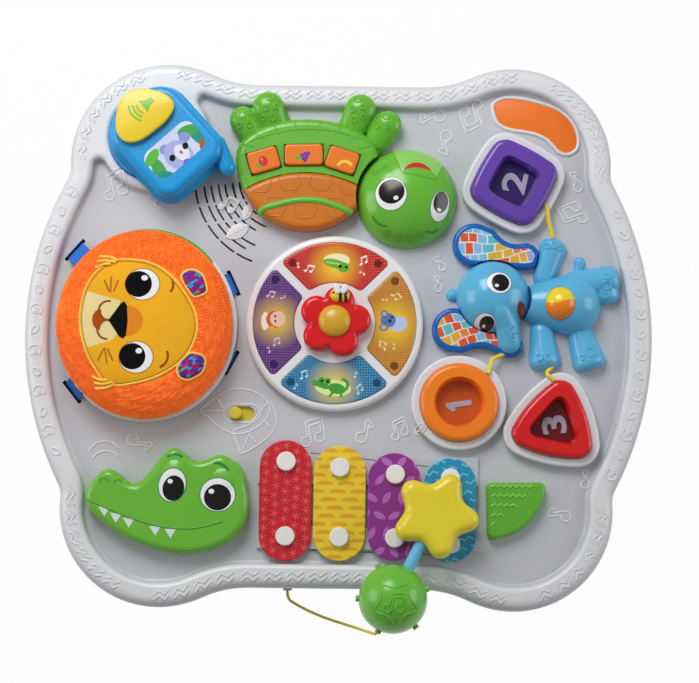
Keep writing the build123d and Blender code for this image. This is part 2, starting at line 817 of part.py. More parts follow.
with BuildPart() as switch_domes:
    for key_x, key_y, key_turn in key_places:
        with Locations(spot(key_x, key_y, board_z)):
            Cone(dome_radius, dome_radius / 2, board_drop - plunger_drop - key_travel - dome_spare,
                 align=(Align.CENTER, Align.CENTER, Align.MIN))
    with Locations(spot(*lion_place, board_z)):
        Cone(dome_radius, dome_radius / 2, board_drop - plunger_drop - drum_travel - dome_spare,
             align=(Align.CENTER, Align.CENTER, Align.MIN))
    for shape_sketch, shape_place in button_shapes.values():
        with Locations(spot(*shape_place, board_z)):
            Cone(dome_radius, dome_radius / 2, board_drop - plunger_drop - button_travel - dome_spare,
                 align=(Align.CENTER, Align.CENTER, Align.MIN))

with BuildPart() as speaker:
    with BuildSketch(spot(*speaker_place, deck_under_z).rotated((90, 0, 0))):
        with BuildLine():
            Polyline(
                (0, 0), (speaker_radius, 0), (speaker_radius, -2), (speaker_radius - 3, -2),
                (speaker_radius / 2, -7), (speaker_radius / 2, -speaker_depth), (0, -speaker_depth),
                close=True,
            )
        make_face()
    revolve(axis=Axis((speaker_place[0], speaker_place[1] + table_y, 0), (0, 0, 1)))

leg_parts = {}
for front_back, y_side in (("front", -1), ("back", 1)):
    for left_right, x_side in (("left", -1), ("right", 1)):
        leg_x = x_side * lobe_x
        leg_y = y_side * lobe_y + table_y
        leg_top_z = base_z + socket_depth
        with BuildPart() as leg:
            with BuildSketch(Plane(origin=(leg_x, leg_y, 0), x_dir=(1, 0, 0), z_dir=(0, -1, 0))):
                with BuildLine():
                    Line((0, 0), (foot_radius - 5, 0))
                    RadiusArc((foot_radius - 5, 0), (foot_radius, 5), -5)
                    Line((foot_radius, 5), (foot_radius - 0.5, foot_height - 4))
                    Line((foot_radius - 0.5, foot_height - 4), (ankle_radius + 1, foot_height))
                    Line((ankle_radius + 1, foot_height), (ankle_radius, foot_height + 6))
                    Line((ankle_radius, foot_height + 6), (shoulder_radius - 1, base_z - 4))
                    Line((shoulder_radius - 1, base_z - 4), (shoulder_radius - 1, base_z))
                    Line((shoulder_radius - 1, base_z), (socket_radius, base_z))
                    Line((socket_radius, base_z), (socket_radius, leg_top_z))
                    Line((socket_radius, leg_top_z), (socket_radius - leg_wall, leg_top_z))
                    Line((socket_radius - leg_wall, leg_top_z), (socket_radius - leg_wall, base_z - 6))
                    Line((socket_radius - leg_wall, base_z - 6), (ankle_radius - leg_wall, foot_height + 6))
                    Line((ankle_radius - leg_wall, foot_height + 6), (ankle_radius - leg_wall, leg_wall))
                    Line((ankle_radius - leg_wall, leg_wall), (0, leg_wall))
                    Line((0, leg_wall), (0, 0))
                make_face()
            revolve(axis=Axis((leg_x, leg_y, 0), (0, 0, 1)))
        leg_parts[f"leg_{front_back}_{left_right}"] = leg

# Telephone

phone_spot = spot(*phone_place, phone_floor_z, phone_turn)
antenna_ends = []
for along, across in (antenna_root, antenna_tip):
    reach, bearing = math.hypot(along, across), math.atan2(across, along) + math.radians(phone_turn)
    antenna_ends.append((
        phone_place[0] + reach * math.cos(bearing), phone_place[1] + reach * math.sin(bearing),
    ))
antenna_z = phone_floor_z + antenna_lift
antenna = lying_limb(*antenna_ends, antenna_radius, antenna_radius, 1.0, antenna_z, arc=360)

with BuildPart() as handset_base:
    with BuildSketch(spot(*cradle_place, phone_floor_z)):
        Circle(cradle_radius - seat_gap)
    extrude(amount=cradle_dip + rim_rise + 1)
    with BuildSketch(phone_spot.offset(cradle_dip + rim_rise + seat_gap)):
        add(grown(phone_outline.sketch, phone_base_flare))
    extrude(amount=phone_base_height - cradle_dip - rim_rise - seat_gap)
    chamfer(handset_base.faces().sort_by(Axis.Z)[-1].edges(), length=phone_base_flare)
    add(antenna, mode=Mode.SUBTRACT)

with BuildPart() as handset_case:
    with BuildSketch(phone_spot.offset(phone_base_height)):
        add(phone_outline.sketch)
    extrude(amount=phone_case_height)
    fillet(handset_case.faces().sort_by(Axis.Z)[-1].edges(), radius=phone_round)
    add(antenna)
    with BuildSketch(phone_spot.offset(phone_base_height + phone_case_height - phone_screen_thick)):
        with Locations(phone_screen_place):
            RectangleRounded(*phone_screen_size, phone_screen_corner)
    extrude(amount=phone_screen_thick, mode=Mode.SUBTRACT)
    with BuildSketch(phone_spot.offset(phone_base_height)):
        with Locations(phone_button_place):
            RectangleRounded(
                phone_button_size[0] + 2 * slide_gap,
                phone_button_size[1] + 2 * slide_gap,
                phone_button_corner,
            )
    extrude(amount=phone_case_height, mode=Mode.SUBTRACT)

with BuildPart() as handset_screen:
    with BuildSketch(phone_spot.offset(phone_base_height + phone_case_height - phone_screen_thick)):
        with Locations(phone_screen_place):
            RectangleRounded(*phone_screen_size, phone_screen_corner)
    extrude(amount=phone_screen_thick)

with BuildPart() as handset_button:
    with BuildSketch(phone_spot.offset(phone_base_height + phone_button_travel + seat_gap)):
        with Locations(phone_button_place):
            RectangleRounded(*phone_button_size, phone_button_corner)
    extrude(amount=phone_case_height - phone_button_travel - seat_gap + phone_button_rise)
    fillet(handset_button.faces().sort_by(Axis.Z)[-1].edges(), radius=3)

# Turtle

with BuildPart() as turtle_body:
    with BuildSketch(spot(*turtle_place, deck_z)):
        add(turtle_outline.sketch)
    extrude(amount=turtle_height)
    fillet(turtle_body.faces().sort_by(Axis.Z)[-1].edges(), radius=turtle_round)
    for flipper in flippers:
        add(lying_limb(*flipper, deck_z))
    with BuildSketch(spot(*turtle_head_place, deck_z)):
        Circle(head_clear_radius)
    extrude(amount=2 * turtle_height, mode=Mode.SUBTRACT)
    with BuildSketch(spot(0, 0, deck_z)):
        Rectangle(2 * half_width, 2 * half_width)
        add(grown(recess, -bank_foot_round), mode=Mode.SUBTRACT)
    extrude(amount=rim_rise + seat_gap, mode=Mode.SUBTRACT)
    with BuildSketch(spot(*turtle_place, deck_z)):
        add(shell_outline.sketch)
    extrude(amount=turtle_height, mode=Mode.SUBTRACT)
    for (key_x, key_y, key_turn), (key_length, key_width) in zip(key_places, key_sizes):
        with BuildSketch(spot(key_x, key_y, deck_z, key_turn)):
            Circle(plunger_radius + slide_gap)
        extrude(amount=turtle_height, mode=Mode.SUBTRACT)
        with BuildSketch(spot(key_x, key_y, deck_z + turtle_height / 2, key_turn)):
            RectangleRounded(key_length + 2 * slide_gap, key_width + 2 * slide_gap, key_corner)
        extrude(amount=turtle_height / 2 + 1, mode=Mode.SUBTRACT)

with BuildPart() as turtle_shell:
    with BuildSketch(spot(*turtle_place, deck_z)):
        add(shell_outline.sketch)
    extrude(amount=turtle_height + shell_rise)
    fillet(turtle_shell.faces().sort_by(Axis.Z)[-1].edges(), radius=shell_round)
    with BuildSketch(spot(*turtle_head_place, deck_z)):
        Circle(head_clear_radius)
    extrude(amount=2 * turtle_height, mode=Mode.SUBTRACT)

key_parts = {}
for key_name, (key_x, key_y, key_turn), (key_length, key_width) in zip(
    ("left", "middle", "right"), key_places, key_sizes
):
    key_z = deck_z + turtle_height / 2 + key_travel + seat_gap
    with BuildPart() as key:
        with BuildSketch(spot(key_x, key_y, key_z, key_turn)):
            RectangleRounded(key_length, key_width, key_corner)
        extrude(amount=deck_z + turtle_height + key_rise - key_z)
        fillet(key.faces().sort_by(Axis.Z)[-1].edges(), radius=1.6)
        with BuildSketch(spot(key_x, key_y, plunger_z)):
            Circle(plunger_radius)
        extrude(amount=key_z - plunger_z + 1)
    key_parts[f"key_{key_name}"] = key

with BuildPart() as jaw_block:
    with BuildSketch(spot(*turtle_head_place, deck_z)):
        with BuildLine():
            Polyline(*jaw_points, close=True)
        make_face()
    extrude(amount=turtle_head_height + 1)

with BuildPart() as jaw_room:
    with BuildSketch(spot(*turtle_head_place, deck_z)):
        with BuildLine():
            Polyline(*jaw_points, close=True)
        make_face()
        offset(amount=jaw_gap)
    extrude(amount=turtle_head_height + 1)

with BuildPart() as head_dome:
    add(dome(*turtle_head_place, deck_z + seat_gap, turtle_head_radius, turtle_head_height))
    add(
        dome(
            *turtle_head_place, deck_z + seat_gap,
            turtle_head_radius - turtle_head_wall, turtle_head_height - turtle_head_wall,
        ),
        mode=Mode.SUBTRACT,
    )

with BuildPart() as turtle_head:
    add(head_dome.part)
    add(jaw_room.part, mode=Mode.SUBTRACT)
    post_foot_z = deck_under_z - under_deck_gap - 2
    with BuildSketch(spot(*turtle_head_place, post_foot_z)):
        Circle(turtle_post_radius)
    extrude(amount=deck_z + turtle_head_height - 2 - post_foot_z)
    with BuildSketch(spot(*turtle_head_place, post_foot_z)):
        Circle(turtle_post_radius + 1.5)
    extrude(amount=2)
    with BuildSketch(spot(*turtle_head_place, post_foot_z)):
        Circle(turtle_post_radius - 2.5)
    extrude(amount=deck_z + turtle_head_height - 8 - post_foot_z, mode=Mode.SUBTRACT)
    add(jaw_room.part, mode=Mode.SUBTRACT)

with BuildPart() as turtle_jaw:
    add(head_dome.part)
    add(jaw_block.part, mode=Mode.INTERSECT)

# Lion drum

with BuildPart() as drum_plate:
    with BuildSketch(spot(*lion_place, drum_top_z - drum_plate_thick)):
        Circle(drum_plate_radius)
    extrude(amount=drum_plate_thick)
    stem_foot_z = deck_under_z - under_deck_gap - 2
    with BuildSketch(spot(*lion_place, stem_foot_z)):
        Circle(drum_stem_radius)
        Circle(drum_stem_radius - drum_stem_wall, mode=Mode.SUBTRACT)
    extrude(amount=drum_top_z - drum_plate_thick - stem_foot_z)
    with BuildSketch(spot(*lion_place, stem_foot_z)):
        with PolarLocations(drum_stem_radius, 3):
            Rectangle(2 * drum_tab_reach, drum_tab_width)
    extrude(amount=2)
    with BuildSketch(spot(*lion_place, plunger_z)):
        Circle(plunger_radius)
    extrude(amount=drum_top_z - plunger_z - 1)

with BuildPart() as lion_pad:
    with BuildSketch(spot(*lion_place, lion_z)):
        Ellipse(lion_half_width, lion_half_length)
    extrude(amount=lion_height)
    fillet(lion_pad.faces().sort_by(Axis.Z)[-1].edges(), radius=lion_top_round)
    fillet(lion_pad.faces().sort_by(Axis.Z)[0].edges(), radius=lion_foot_round)
    with BuildSketch(spot(*lion_place, lion_z)):
        Circle(drum_plate_radius + seat_gap)
    extrude(amount=drum_top_z - lion_z, mode=Mode.SUBTRACT)

lion_top_z = lion_z + lion_height

with BuildPart() as lion_face:
    with BuildSketch(spot(*face_place, lion_top_z)):
        Ellipse(face_half_width, face_half_length)
    extrude(amount=face_thick)
    fillet(lion_face.faces().sort_by(Axis.Z)[-1].edges(), radius=face_thick * 0.7)

with BuildPart() as lion_ears:
    for ear_x, ear_y, ear_turn in ear_places:
        with BuildSketch(spot(ear_x, ear_y, lion_top_z - 5, ear_turn)):
            RectangleRounded(*ear_size, 7)
        extrude(amount=5 + ear_thick)
    add(lion_pad.part, mode=Mode.SUBTRACT)
    add(lion_face.part, mode=Mode.SUBTRACT)

with BuildPart() as lion_straps:
    for strap_x, strap_y, strap_turn in strap_places:
        inward = math.atan2(lion_place[1] - strap_y, lion_place[0] - strap_x)
        edge_radius = lion_half_width * lion_half_length / math.hypot(
            lion_half_length * math.cos(inward), lion_half_width * math.sin(inward)
        )
        strap_run = math.dist((strap_x, strap_y), lion_place) - edge_radius + strap_bite
        strap_plane = spot(strap_x, strap_y, deck_under_z, math.degrees(inward))
        with BuildSketch(Plane(origin=strap_plane.origin, x_dir=strap_plane.x_dir, z_dir=strap_plane.y_dir)):
            with BuildLine():
                Polyline(
                    (-strap_thick / 2, 0), (-strap_thick / 2, -wall - 0.5),
                    (strap_run, -wall - strap_rise), (strap_run, -wall - strap_rise + strap_thick),
                    (strap_thick / 2, -wall - 0.5), (strap_thick / 2, 0), close=True,
                )
            make_face()
        extrude(amount=strap_width / 2, both=True)
    add(lion_pad.part, mode=Mode.SUBTRACT)

# Light dial, flower and bee

with BuildPart() as dial_bezel:
    with BuildSketch(spot(*dial_place, deck_z)):
        Circle(dial_radius)
    extrude(amount=dial_height)
    fillet(dial_bezel.faces().sort_by(Axis.Z)[-1].edges(), radius=dial_round)
    for lens_turn in lens_turns.values():
        with BuildSketch(spot(*dial_place, deck_z + lens_seat, lens_turn)):
            add(lens_outline.sketch)
        extrude(amount=dial_height, mode=Mode.SUBTRACT)
    with BuildSketch(spot(*dial_place, deck_z)):
        with PolarLocations((lens_outer_radius + lens_inner_radius) / 2, 4):
            Circle(led_hole_radius)
    extrude(amount=lens_seat, mode=Mode.SUBTRACT)
    with BuildSketch(spot(*dial_place, dial_top_z)):
        Circle(flower_post_radius)
    extrude(amount=petal_thick)

lens_parts = {}
for lens_name, lens_turn in lens_turns.items():
    with BuildPart() as lens:
        with BuildSketch(spot(*dial_place, deck_z + lens_seat, lens_turn)):
            add(grown(lens_outline.sketch, -lens_gap))
        extrude(amount=dial_height - lens_seat + lens_rise)
        fillet(lens.faces().sort_by(Axis.Z)[-1].edges(), radius=lens_rise + 0.6)
    lens_parts[f"lens_{lens_name}"] = lens

with BuildPart() as flower:
    with BuildSketch(spot(*dial_place, flower_z)):
        with PolarLocations(petal_reach, petal_count, start_angle=petal_start):
            Circle(petal_radius)
        Circle(petal_reach)
    extrude(amount=petal_thick)
    fillet(flower.faces().sort_by(Axis.Z)[-1].edges(), radius=petal_round)
    with BuildSketch(spot(*dial_place, flower_z)):
        Circle(flower_post_radius + pin_gap)
    extrude(amount=petal_thick + 0.5 - flower_gap, mode=Mode.SUBTRACT)

with BuildPart() as flower_cap:
    add(dome(*dial_place, flower_z + petal_thick, flower_cap_radius, flower_cap_height))

with BuildPart() as bee:
    bee_x = dial_place[0] + bee_place[0]
    bee_y = dial_place[1] + bee_place[1]
    add(lying_limb(
        (bee_x - (bee_length - bee_width) / 2, bee_y), (bee_x + (bee_length - bee_width) / 2, bee_y),
        bee_width / 2, bee_width / 2, 1.0, flower_z + petal_thick,
    ))
    add(flower_cap.part, mode=Mode.SUBTRACT)

# Elephant

with BuildPart() as elephant_body:
    add(lying_limb(*torso, deck_z))
    for limb_run in limbs:
        add(lying_limb(*limb_run, deck_z))
    with BuildSketch(spot(*elephant_head_place, deck_z)):
        Circle(elephant_head_radius + seat_gap)
    extrude(amount=elephant_head_height, mode=Mode.SUBTRACT)
    tummy_centre = (tummy_place[0], tummy_place[1] + table_y, deck_z + tummy_lift + seat_gap)
    with Locations(tummy_centre):
        Sphere(tummy_radius + seat_gap, mode=Mode.SUBTRACT)
        Cylinder(
            tummy_pin_radius + pin_gap, 2 * tummy_pin_reach + 1, rotation=(0, 90, 0), mode=Mode.SUBTRACT
        )

with BuildPart() as tummy_ball:
    pin_root = math.sqrt(tummy_radius**2 - tummy_pin_radius**2)
    with BuildSketch(Plane(origin=tummy_centre)):
        with BuildLine():
            ThreePointArc((pin_root, tummy_pin_radius), (0, tummy_radius), (-pin_root, tummy_pin_radius))
            Polyline(
                (-pin_root, tummy_pin_radius), (-tummy_pin_reach, tummy_pin_radius),
                (-tummy_pin_reach, 0), (tummy_pin_reach, 0), (tummy_pin_reach, tummy_pin_radius),
                (pin_root, tummy_pin_radius),
            )
        make_face()
    revolve(axis=Axis(tummy_centre, (1, 0, 0)))

with BuildPart() as elephant_head:
    add(dome(*elephant_head_place, deck_z, elephant_head_radius, elephant_head_height))
    add(lying_limb(*trunk, deck_z))
    add(lying_limb(*head_nub, deck_z))

with BuildPart() as elephant_ears:
    for ear in ears:
        with BuildSketch(spot(0, 0, deck_z)):
            add(ear_shape(*ear))
        extrude(amount=ear_height)
    fillet(elephant_ears.faces().filter_by(Plane.XY).group_by(Axis.Z)[-1].edges(), radius=ear_round)
    for ear in ears:
        with BuildSketch(spot(0, 0, deck_z + ear_height - ear_panel_depth)):
            add(ear_shape(*ear, inset=ear_frame))
        extrude(amount=ear_panel_depth, mode=Mode.SUBTRACT)
    with BuildSketch(spot(0, 0, deck_z)):
        with Locations(elephant_head_place):
            Circle(elephant_head_radius + seat_gap)
        add(tapered_slot(*trunk, grow=seat_gap))
        for limb_run in limbs[:2]:
            add(tapered_slot(*limb_run, grow=seat_gap))
        add(tapered_slot(*torso, grow=seat_gap))
    extrude(amount=ear_height, mode=Mode.SUBTRACT)

with BuildPart() as ear_panels:
    for ear in ears:
        with BuildSketch(spot(0, 0, deck_z + ear_height - ear_panel_depth)):
            add(ear_shape(*ear, inset=ear_frame))
        extrude(amount=ear_panel_depth)
    with BuildSketch(spot(0, 0, deck_z)):
        with Locations(elephant_head_place):
            Circle(elephant_head_radius + seat_gap)
        add(tapered_slot(*trunk, grow=seat_gap))
    extrude(amount=ear_height, mode=Mode.SUBTRACT)

# Shape buttons and their strings

button_parts = {}
for shape_name, (shape_sketch, shape_place) in button_shapes.items():
    lip_z = deck_under_z - under_deck_gap - button_lip_thick
    button_top_z = deck_z + button_height
    floor_z = button_top_z - window_depth
    with BuildPart() as button:
        with BuildSketch(spot(*shape_place, lip_z)):
            add(shape_sketch)
        extrude(amount=button_top_z - lip_z)
        fillet(button.faces().sort_by(Axis.Z)[-1].edges(), radius=button_round)
        with BuildSketch(spot(*shape_place, lip_z)):
            add(grown(shape_sketch, slide_gap + button_lip))
        extrude(amount=button_lip_thick)
        for window_z, inset in ((button_top_z, 0), (floor_z, window_draw)):
            with BuildSketch(spot(*shape_place, window_z)):
                add(window_shape(shape_name, inset))
        loft(mode=Mode.SUBTRACT)
        with BuildSketch(spot(*shape_place, lip_z)):
            add(grown(shape_sketch, -button_hollow))
        extrude(amount=floor_z - button_hollow - lip_z, mode=Mode.SUBTRACT)
        with BuildSketch(spot(*shape_place, plunger_z)):
            Circle(plunger_radius)
        extrude(amount=floor_z - 1 - plunger_z)
    button_parts[f"button_{shape_name}"] = button

with BuildPart() as balloon_strings:
    for string in strings:
        knots = [Vector(x, y + table_y, deck_z + z) for x, y, z in string]
        with BuildLine():
            path = FilletPolyline(*knots, radius=3)
        with BuildSketch(Plane(origin=path @ 0, z_dir=path % 0)):
            Circle(string_radius)
        sweep()
    for shape_sketch, shape_place in button_shapes.values():
        with BuildSketch(spot(*shape_place, deck_z)):
            add(grown(shape_sketch, slide_gap))
        extrude(amount=2 * button_height, mode=Mode.SUBTRACT)
    for neighbour in (top_shell, elephant_body, elephant_head, elephant_ears, ear_panels):
        add(neighbour.part, mode=Mode.SUBTRACT)

# Crocodile

with BuildPart() as croc_head:
    with BuildSketch(spot(0, 0, deck_z)):
        with BuildLine():
            Spline(*croc_points, periodic=True)
        make_face()
    extrude(amount=croc_height)
    fillet(croc_head.faces().sort_by(Axis.Z)[-1].edges(), radius=croc_round)

with BuildPart() as croc_tail:
    with BuildSketch(spot(0, 0, deck_z)) as tail_sketch:
        with BuildLine():
            Line(tail_corners[2], tail_corners[0])
            Line(tail_corners[0], tail_corners[1])
            ThreePointArc(tail_corners[1], tail_bulge, tail_corners[2])
        make_face()
        fillet(tail_sketch.vertices(), radius=tail_corner)
    extrude(amount=tail_height)
    fillet(croc_tail.faces().sort_by(Axis.Z)[-1].edges(), radius=tail_round)

# Chime bars

bar_parts = {}
for bar_name, (bar_x, bar_y, bar_length) in bars.items():
    with BuildPart() as bar:
        with BuildSketch(spot(bar_x, bar_y, bar_z, 90)):
            SlotOverall(bar_length, bar_width)
        extrude(amount=bar_thick)
        fillet(bar.faces().sort_by(Axis.Z)[-1].edges(), radius=bar_round)
        with BuildSketch(spot(0, 0, bar_z)):
            for peg_x, peg_y in peg_places:
                if abs(peg_x - bar_x) < bar_width / 2:
                    with Locations((peg_x, peg_y)):
                        Circle(peg_stem_radius + peg_hole_gap)
        extrude(amount=bar_thick, mode=Mode.SUBTRACT)
    bar_parts[f"bar_{bar_name}"] = bar

with BuildPart() as bar_pegs:
    for peg_place in peg_places:
        with Locations(spot(*peg_place, deck_under_z - 3)):
            Cylinder(
                peg_stem_radius, bar_top_z - deck_under_z + 3, align=(Align.CENTER, Align.CENTER, Align.MIN)
            )
        with Locations(spot(*peg_place, bar_top_z)):
            Cylinder(peg_head_radius, peg_head_height, align=(Align.CENTER, Align.CENTER, Align.MIN))
    fillet(bar_pegs.faces().filter_by(Plane.XY).group_by(Axis.Z)[-1].edges(), radius=1.0)

with BuildPart() as volume_slider:
    knob_x = slider_place[0] - slider_slot[0] / 2 + slider_knob_radius + 0.1
    plate_z = deck_under_z - under_deck_gap - slider_plate_thick
    with BuildSketch(spot(knob_x + slider_travel / 2, slider_place[1], plate_z)):
        Rectangle(*slider_plate)
    extrude(amount=slider_plate_thick)
    with BuildSketch(spot(knob_x, slider_place[1], plate_z)):
        Circle(slider_knob_radius)
    extrude(amount=deck_z + slider_knob_rise - plate_z)
    fillet(volume_slider.faces().sort_by(Axis.Z)[-1].edges(), radius=1.5)

# Mallet

star_centre = Vector(star_place[0], star_place[1] + table_y, rim_z + star_centre_rise)
ball_over = -half_depth + rim_roll - ball_place[1]
ball_rise = math.sqrt((ball_radius + rim_roll + ball_rest_gap) ** 2 - ball_over**2) - rim_roll
ball_centre = Vector(ball_place[0], ball_place[1] + table_y, rim_z + ball_rise)
mallet_run = (ball_centre - star_centre).length
mallet_dir = (ball_centre - star_centre).normalized()
mallet_side = Vector(0, 0, 1).cross(mallet_dir).normalized()
star_plane = Plane(origin=star_centre, x_dir=mallet_dir, z_dir=mallet_dir.cross(mallet_side))
handle_plane = Plane(origin=star_centre, x_dir=mallet_side, z_dir=mallet_dir)

with BuildPart() as mallet_handle:
    with BuildSketch(handle_plane.offset(star_waist - handle_seat)):
        Circle(handle_radius)
    extrude(amount=mallet_run - star_waist - ball_radius + 2 * handle_seat)

with BuildPart() as mallet_star:
    with BuildSketch(star_plane.offset(-star_thick / 2)) as star_sketch:
        star_points = []
        for corner in range(10):
            reach = star_reach if corner % 2 else star_waist
            bearing = math.radians(36 * corner)
            star_points.append((reach * math.cos(bearing), reach * math.sin(bearing)))
        Polygon(*star_points, align=None)
        fillet(star_sketch.vertices(), radius=star_tip_round)
    extrude(amount=star_thick)
    flat_faces = mallet_star.faces().filter_by(star_plane)
    fillet(flat_faces.edges(), radius=star_edge_round)
    add(mallet_handle.part, mode=Mode.SUBTRACT)

cord_dir = Vector(
    math.cos(math.radians(cord_ball_turn)) * math.cos(math.radians(cord_ball_dip)),
    math.sin(math.radians(cord_ball_turn)) * math.cos(math.radians(cord_ball_dip)),
    math.sin(math.radians(cord_ball_dip)),
)
cord_end_reach = ball_radius + cord_nub_rise

with BuildPart() as mallet_ball:
    with Locations(ball_centre):
        Sphere(ball_radius)
    for nub_turn in nub_turns:
        nub_dir = (math.cos(math.radians(nub_turn)), math.sin(math.radians(nub_turn)), 0)
        with Locations(Plane(origin=ball_centre, z_dir=nub_dir)):
            Cylinder(nub_radius, ball_radius + nub_rise, align=(Align.CENTER, Align.CENTER, Align.MIN))
    with Locations(Plane(origin=ball_centre, z_dir=cord_dir)):
        Cylinder(cord_nub_radius, cord_end_reach, align=(Align.CENTER, Align.CENTER, Align.MIN))
    add(mallet_handle.part, mode=Mode.SUBTRACT)

cord_start = Vector(cord_exit[0], table_y - half_depth - cord_boss_rise, rim_z + cord_exit[1])
cord_end = ball_centre + cord_dir * cord_end_reach
cord_points = [cord_start]
cord_points += [Vector(x, y + table_y, rim_z + z) for x, y, z in cord_middle]
cord_points += [cord_end + cord_dir * 8, cord_end]
cord_runs = [(b - a).length for a, b in zip(cord_points, cord_points[1:])]
cord_radii = []
for before, after, first, second in zip(
    cord_runs, cord_runs[1:], zip(cord_points, cord_points[1:]), zip(cord_points[1:], cord_points[2:])
):
    bend = (first[1] - first[0]).get_angle(second[1] - second[0])
    cord_radii.append(0.45 * min(before, after) / math.tan(math.radians(bend / 2)))
print("cord runs", [round(run, 1) for run in cord_runs])
print("cord radii", [round(radius, 1) for radius in cord_radii])

with BuildPart() as mallet_cord:
    with BuildLine():
        cord_path = FilletPolyline(*cord_points, radius=cord_radii)
    with BuildSketch(Plane(origin=cord_path @ 0, z_dir=cord_path % 0)):
        Circle(cord_radius)
    sweep()
cord_length = cord_path.length
cord_section = math.pi * cord_radius**2
print("cord length", round(cord_length, 1), "volume", round(mallet_cord.part.volume, 1),
      "section x length", round(cord_section * cord_length, 1))

pieces = {
    "top_shell": top_shell,
    "bottom_shell": bottom_shell,
    "case_screws": case_screws,
    "battery_door": battery_door,
    "door_screw": door_screw,
    "batteries": batteries,
    "battery_contacts": battery_contacts,
    "circuit_board": circuit_board,
    "leds": leds,
    "switch_domes": switch_domes,
    "speaker": speaker,
    **leg_parts,
    "handset_base": handset_base,
    "handset_case": handset_case,
    "handset_screen": handset_screen,
    "handset_button": handset_button,
    "turtle_body": turtle_body,
    "turtle_shell": turtle_shell,
    **key_parts,
    "turtle_head": turtle_head,
    "turtle_jaw": turtle_jaw,
    "drum_plate": drum_plate,
    "lion_pad": lion_pad,
    "lion_face": lion_face,
    "lion_ears": lion_ears,
    "lion_straps": lion_straps,
    "dial_bezel": dial_bezel,
    **lens_parts,
    "flower": flower,
    "flower_cap": flower_cap,
    "bee": bee,
    "elephant_body": elephant_body,
    "tummy_ball": tummy_ball,
    "elephant_head": elephant_head,
    "elephant_ears": elephant_ears,
    "ear_panels": ear_panels,
    **button_parts,
    "balloon_strings": balloon_strings,
    "croc_head": croc_head,
    "croc_tail": croc_tail,
    **bar_parts,
    "bar_pegs": bar_pegs,
    "volume_slider": volume_slider,
    "mallet_star": mallet_star,
    "mallet_handle": mallet_handle,
    "mallet_ball": mallet_ball,
    "mallet_cord": mallet_cord,
}
for node_name, piece in pieces.items():
    piece.part.label = node_name
    export_step(piece.part, f"parts/{node_name}.step")
print(len(pieces), "pieces")
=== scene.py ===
"""A baby's activity table, dressed: moulded finishes, prints, plush, cord, camera and light."""
import logging
import math
from collections.abc import Callable, Sequence
from dataclasses import dataclass, replace

import bpy
from mathutils import Matrix, Vector
from mathutils.bvhtree import BVHTree


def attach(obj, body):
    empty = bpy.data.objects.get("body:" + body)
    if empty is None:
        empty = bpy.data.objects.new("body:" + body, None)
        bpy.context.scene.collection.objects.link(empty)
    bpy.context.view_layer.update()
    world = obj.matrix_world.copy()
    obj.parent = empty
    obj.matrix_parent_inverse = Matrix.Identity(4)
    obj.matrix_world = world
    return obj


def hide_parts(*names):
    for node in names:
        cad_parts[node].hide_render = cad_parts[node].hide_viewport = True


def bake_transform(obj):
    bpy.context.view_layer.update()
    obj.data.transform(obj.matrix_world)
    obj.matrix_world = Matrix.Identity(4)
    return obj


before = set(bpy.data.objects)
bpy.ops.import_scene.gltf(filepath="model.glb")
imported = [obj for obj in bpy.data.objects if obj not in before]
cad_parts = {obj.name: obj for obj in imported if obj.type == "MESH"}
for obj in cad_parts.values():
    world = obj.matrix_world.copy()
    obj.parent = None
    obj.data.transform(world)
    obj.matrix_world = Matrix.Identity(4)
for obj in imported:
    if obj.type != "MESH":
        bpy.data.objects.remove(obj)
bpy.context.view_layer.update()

log = logging.getLogger("activity_table")

MM = 0.001
TABLE_Y = 8.45
DECK = 340
RIM = 348

Point2 = tuple[float, float]
Point3 = tuple[float, float, float]
Four = tuple[float, float, float, float]
Five = tuple[float, float, float, float, float]
Run = tuple[Sequence[Sequence[float]], bool]
Colour = tuple[int, int, int]


def at(x: float, y: float, z: float) -> Vector:
    """A point of the table top in metres, from millimetres measured from the top's middle."""
    return Vector((x * MM, (y + TABLE_Y) * MM, z * MM))


def linear(colour: Colour) -> tuple[float, float, float, float]:
    """A 0-255 display colour as the linear colour that shaders take."""
    parts = [c / 255 for c in colour]
    return (*[p / 12.92 if p <= 0.04045 else ((p + 0.055) / 1.055) ** 2.4 for p in parts], 1)


def operator(operation: str, flip: bool = False) -> Callable[..., "Term"]:
    """A method that adds one arithmetic node; flip puts the other value first."""

    def apply(self: "Term", *others: "Term | float") -> "Term":
        """The node's result."""
        return self.graph.math(operation, *((*others, self) if flip else (self, *others)))

    return apply


class Term:
    """A shader socket that Python's arithmetic works on; low and high join and meet distances."""

    __add__, __radd__ = operator("ADD"), operator("ADD", True)
    __sub__, __rsub__ = operator("SUBTRACT"), operator("SUBTRACT", True)
    __mul__, __rmul__ = operator("MULTIPLY"), operator("MULTIPLY", True)
    __truediv__, __rtruediv__ = operator("DIVIDE"), operator("DIVIDE", True)
    __mod__, __pow__, __abs__ = operator("FLOORED_MODULO"), operator("POWER"), operator("ABSOLUTE")
    low, high, sin, cos = operator("MINIMUM"), operator("MAXIMUM"), operator("SINE"), operator("COSINE")

    def __init__(self, graph: "Graph", socket: bpy.types.NodeSocket) -> None:
        """Keeps the socket and the graph it belongs to."""
        self.graph, self.socket = graph, socket

    def __neg__(self) -> "Term":
        """Opposite."""
        return self * -1

    def inside(self, soft: float = 0.25) -> "Term":
        """1 where this distance is below nought, 0 above, over a soft edge."""
        return self.graph.math("SUBTRACT", 0.5, self / soft, clamp=True)


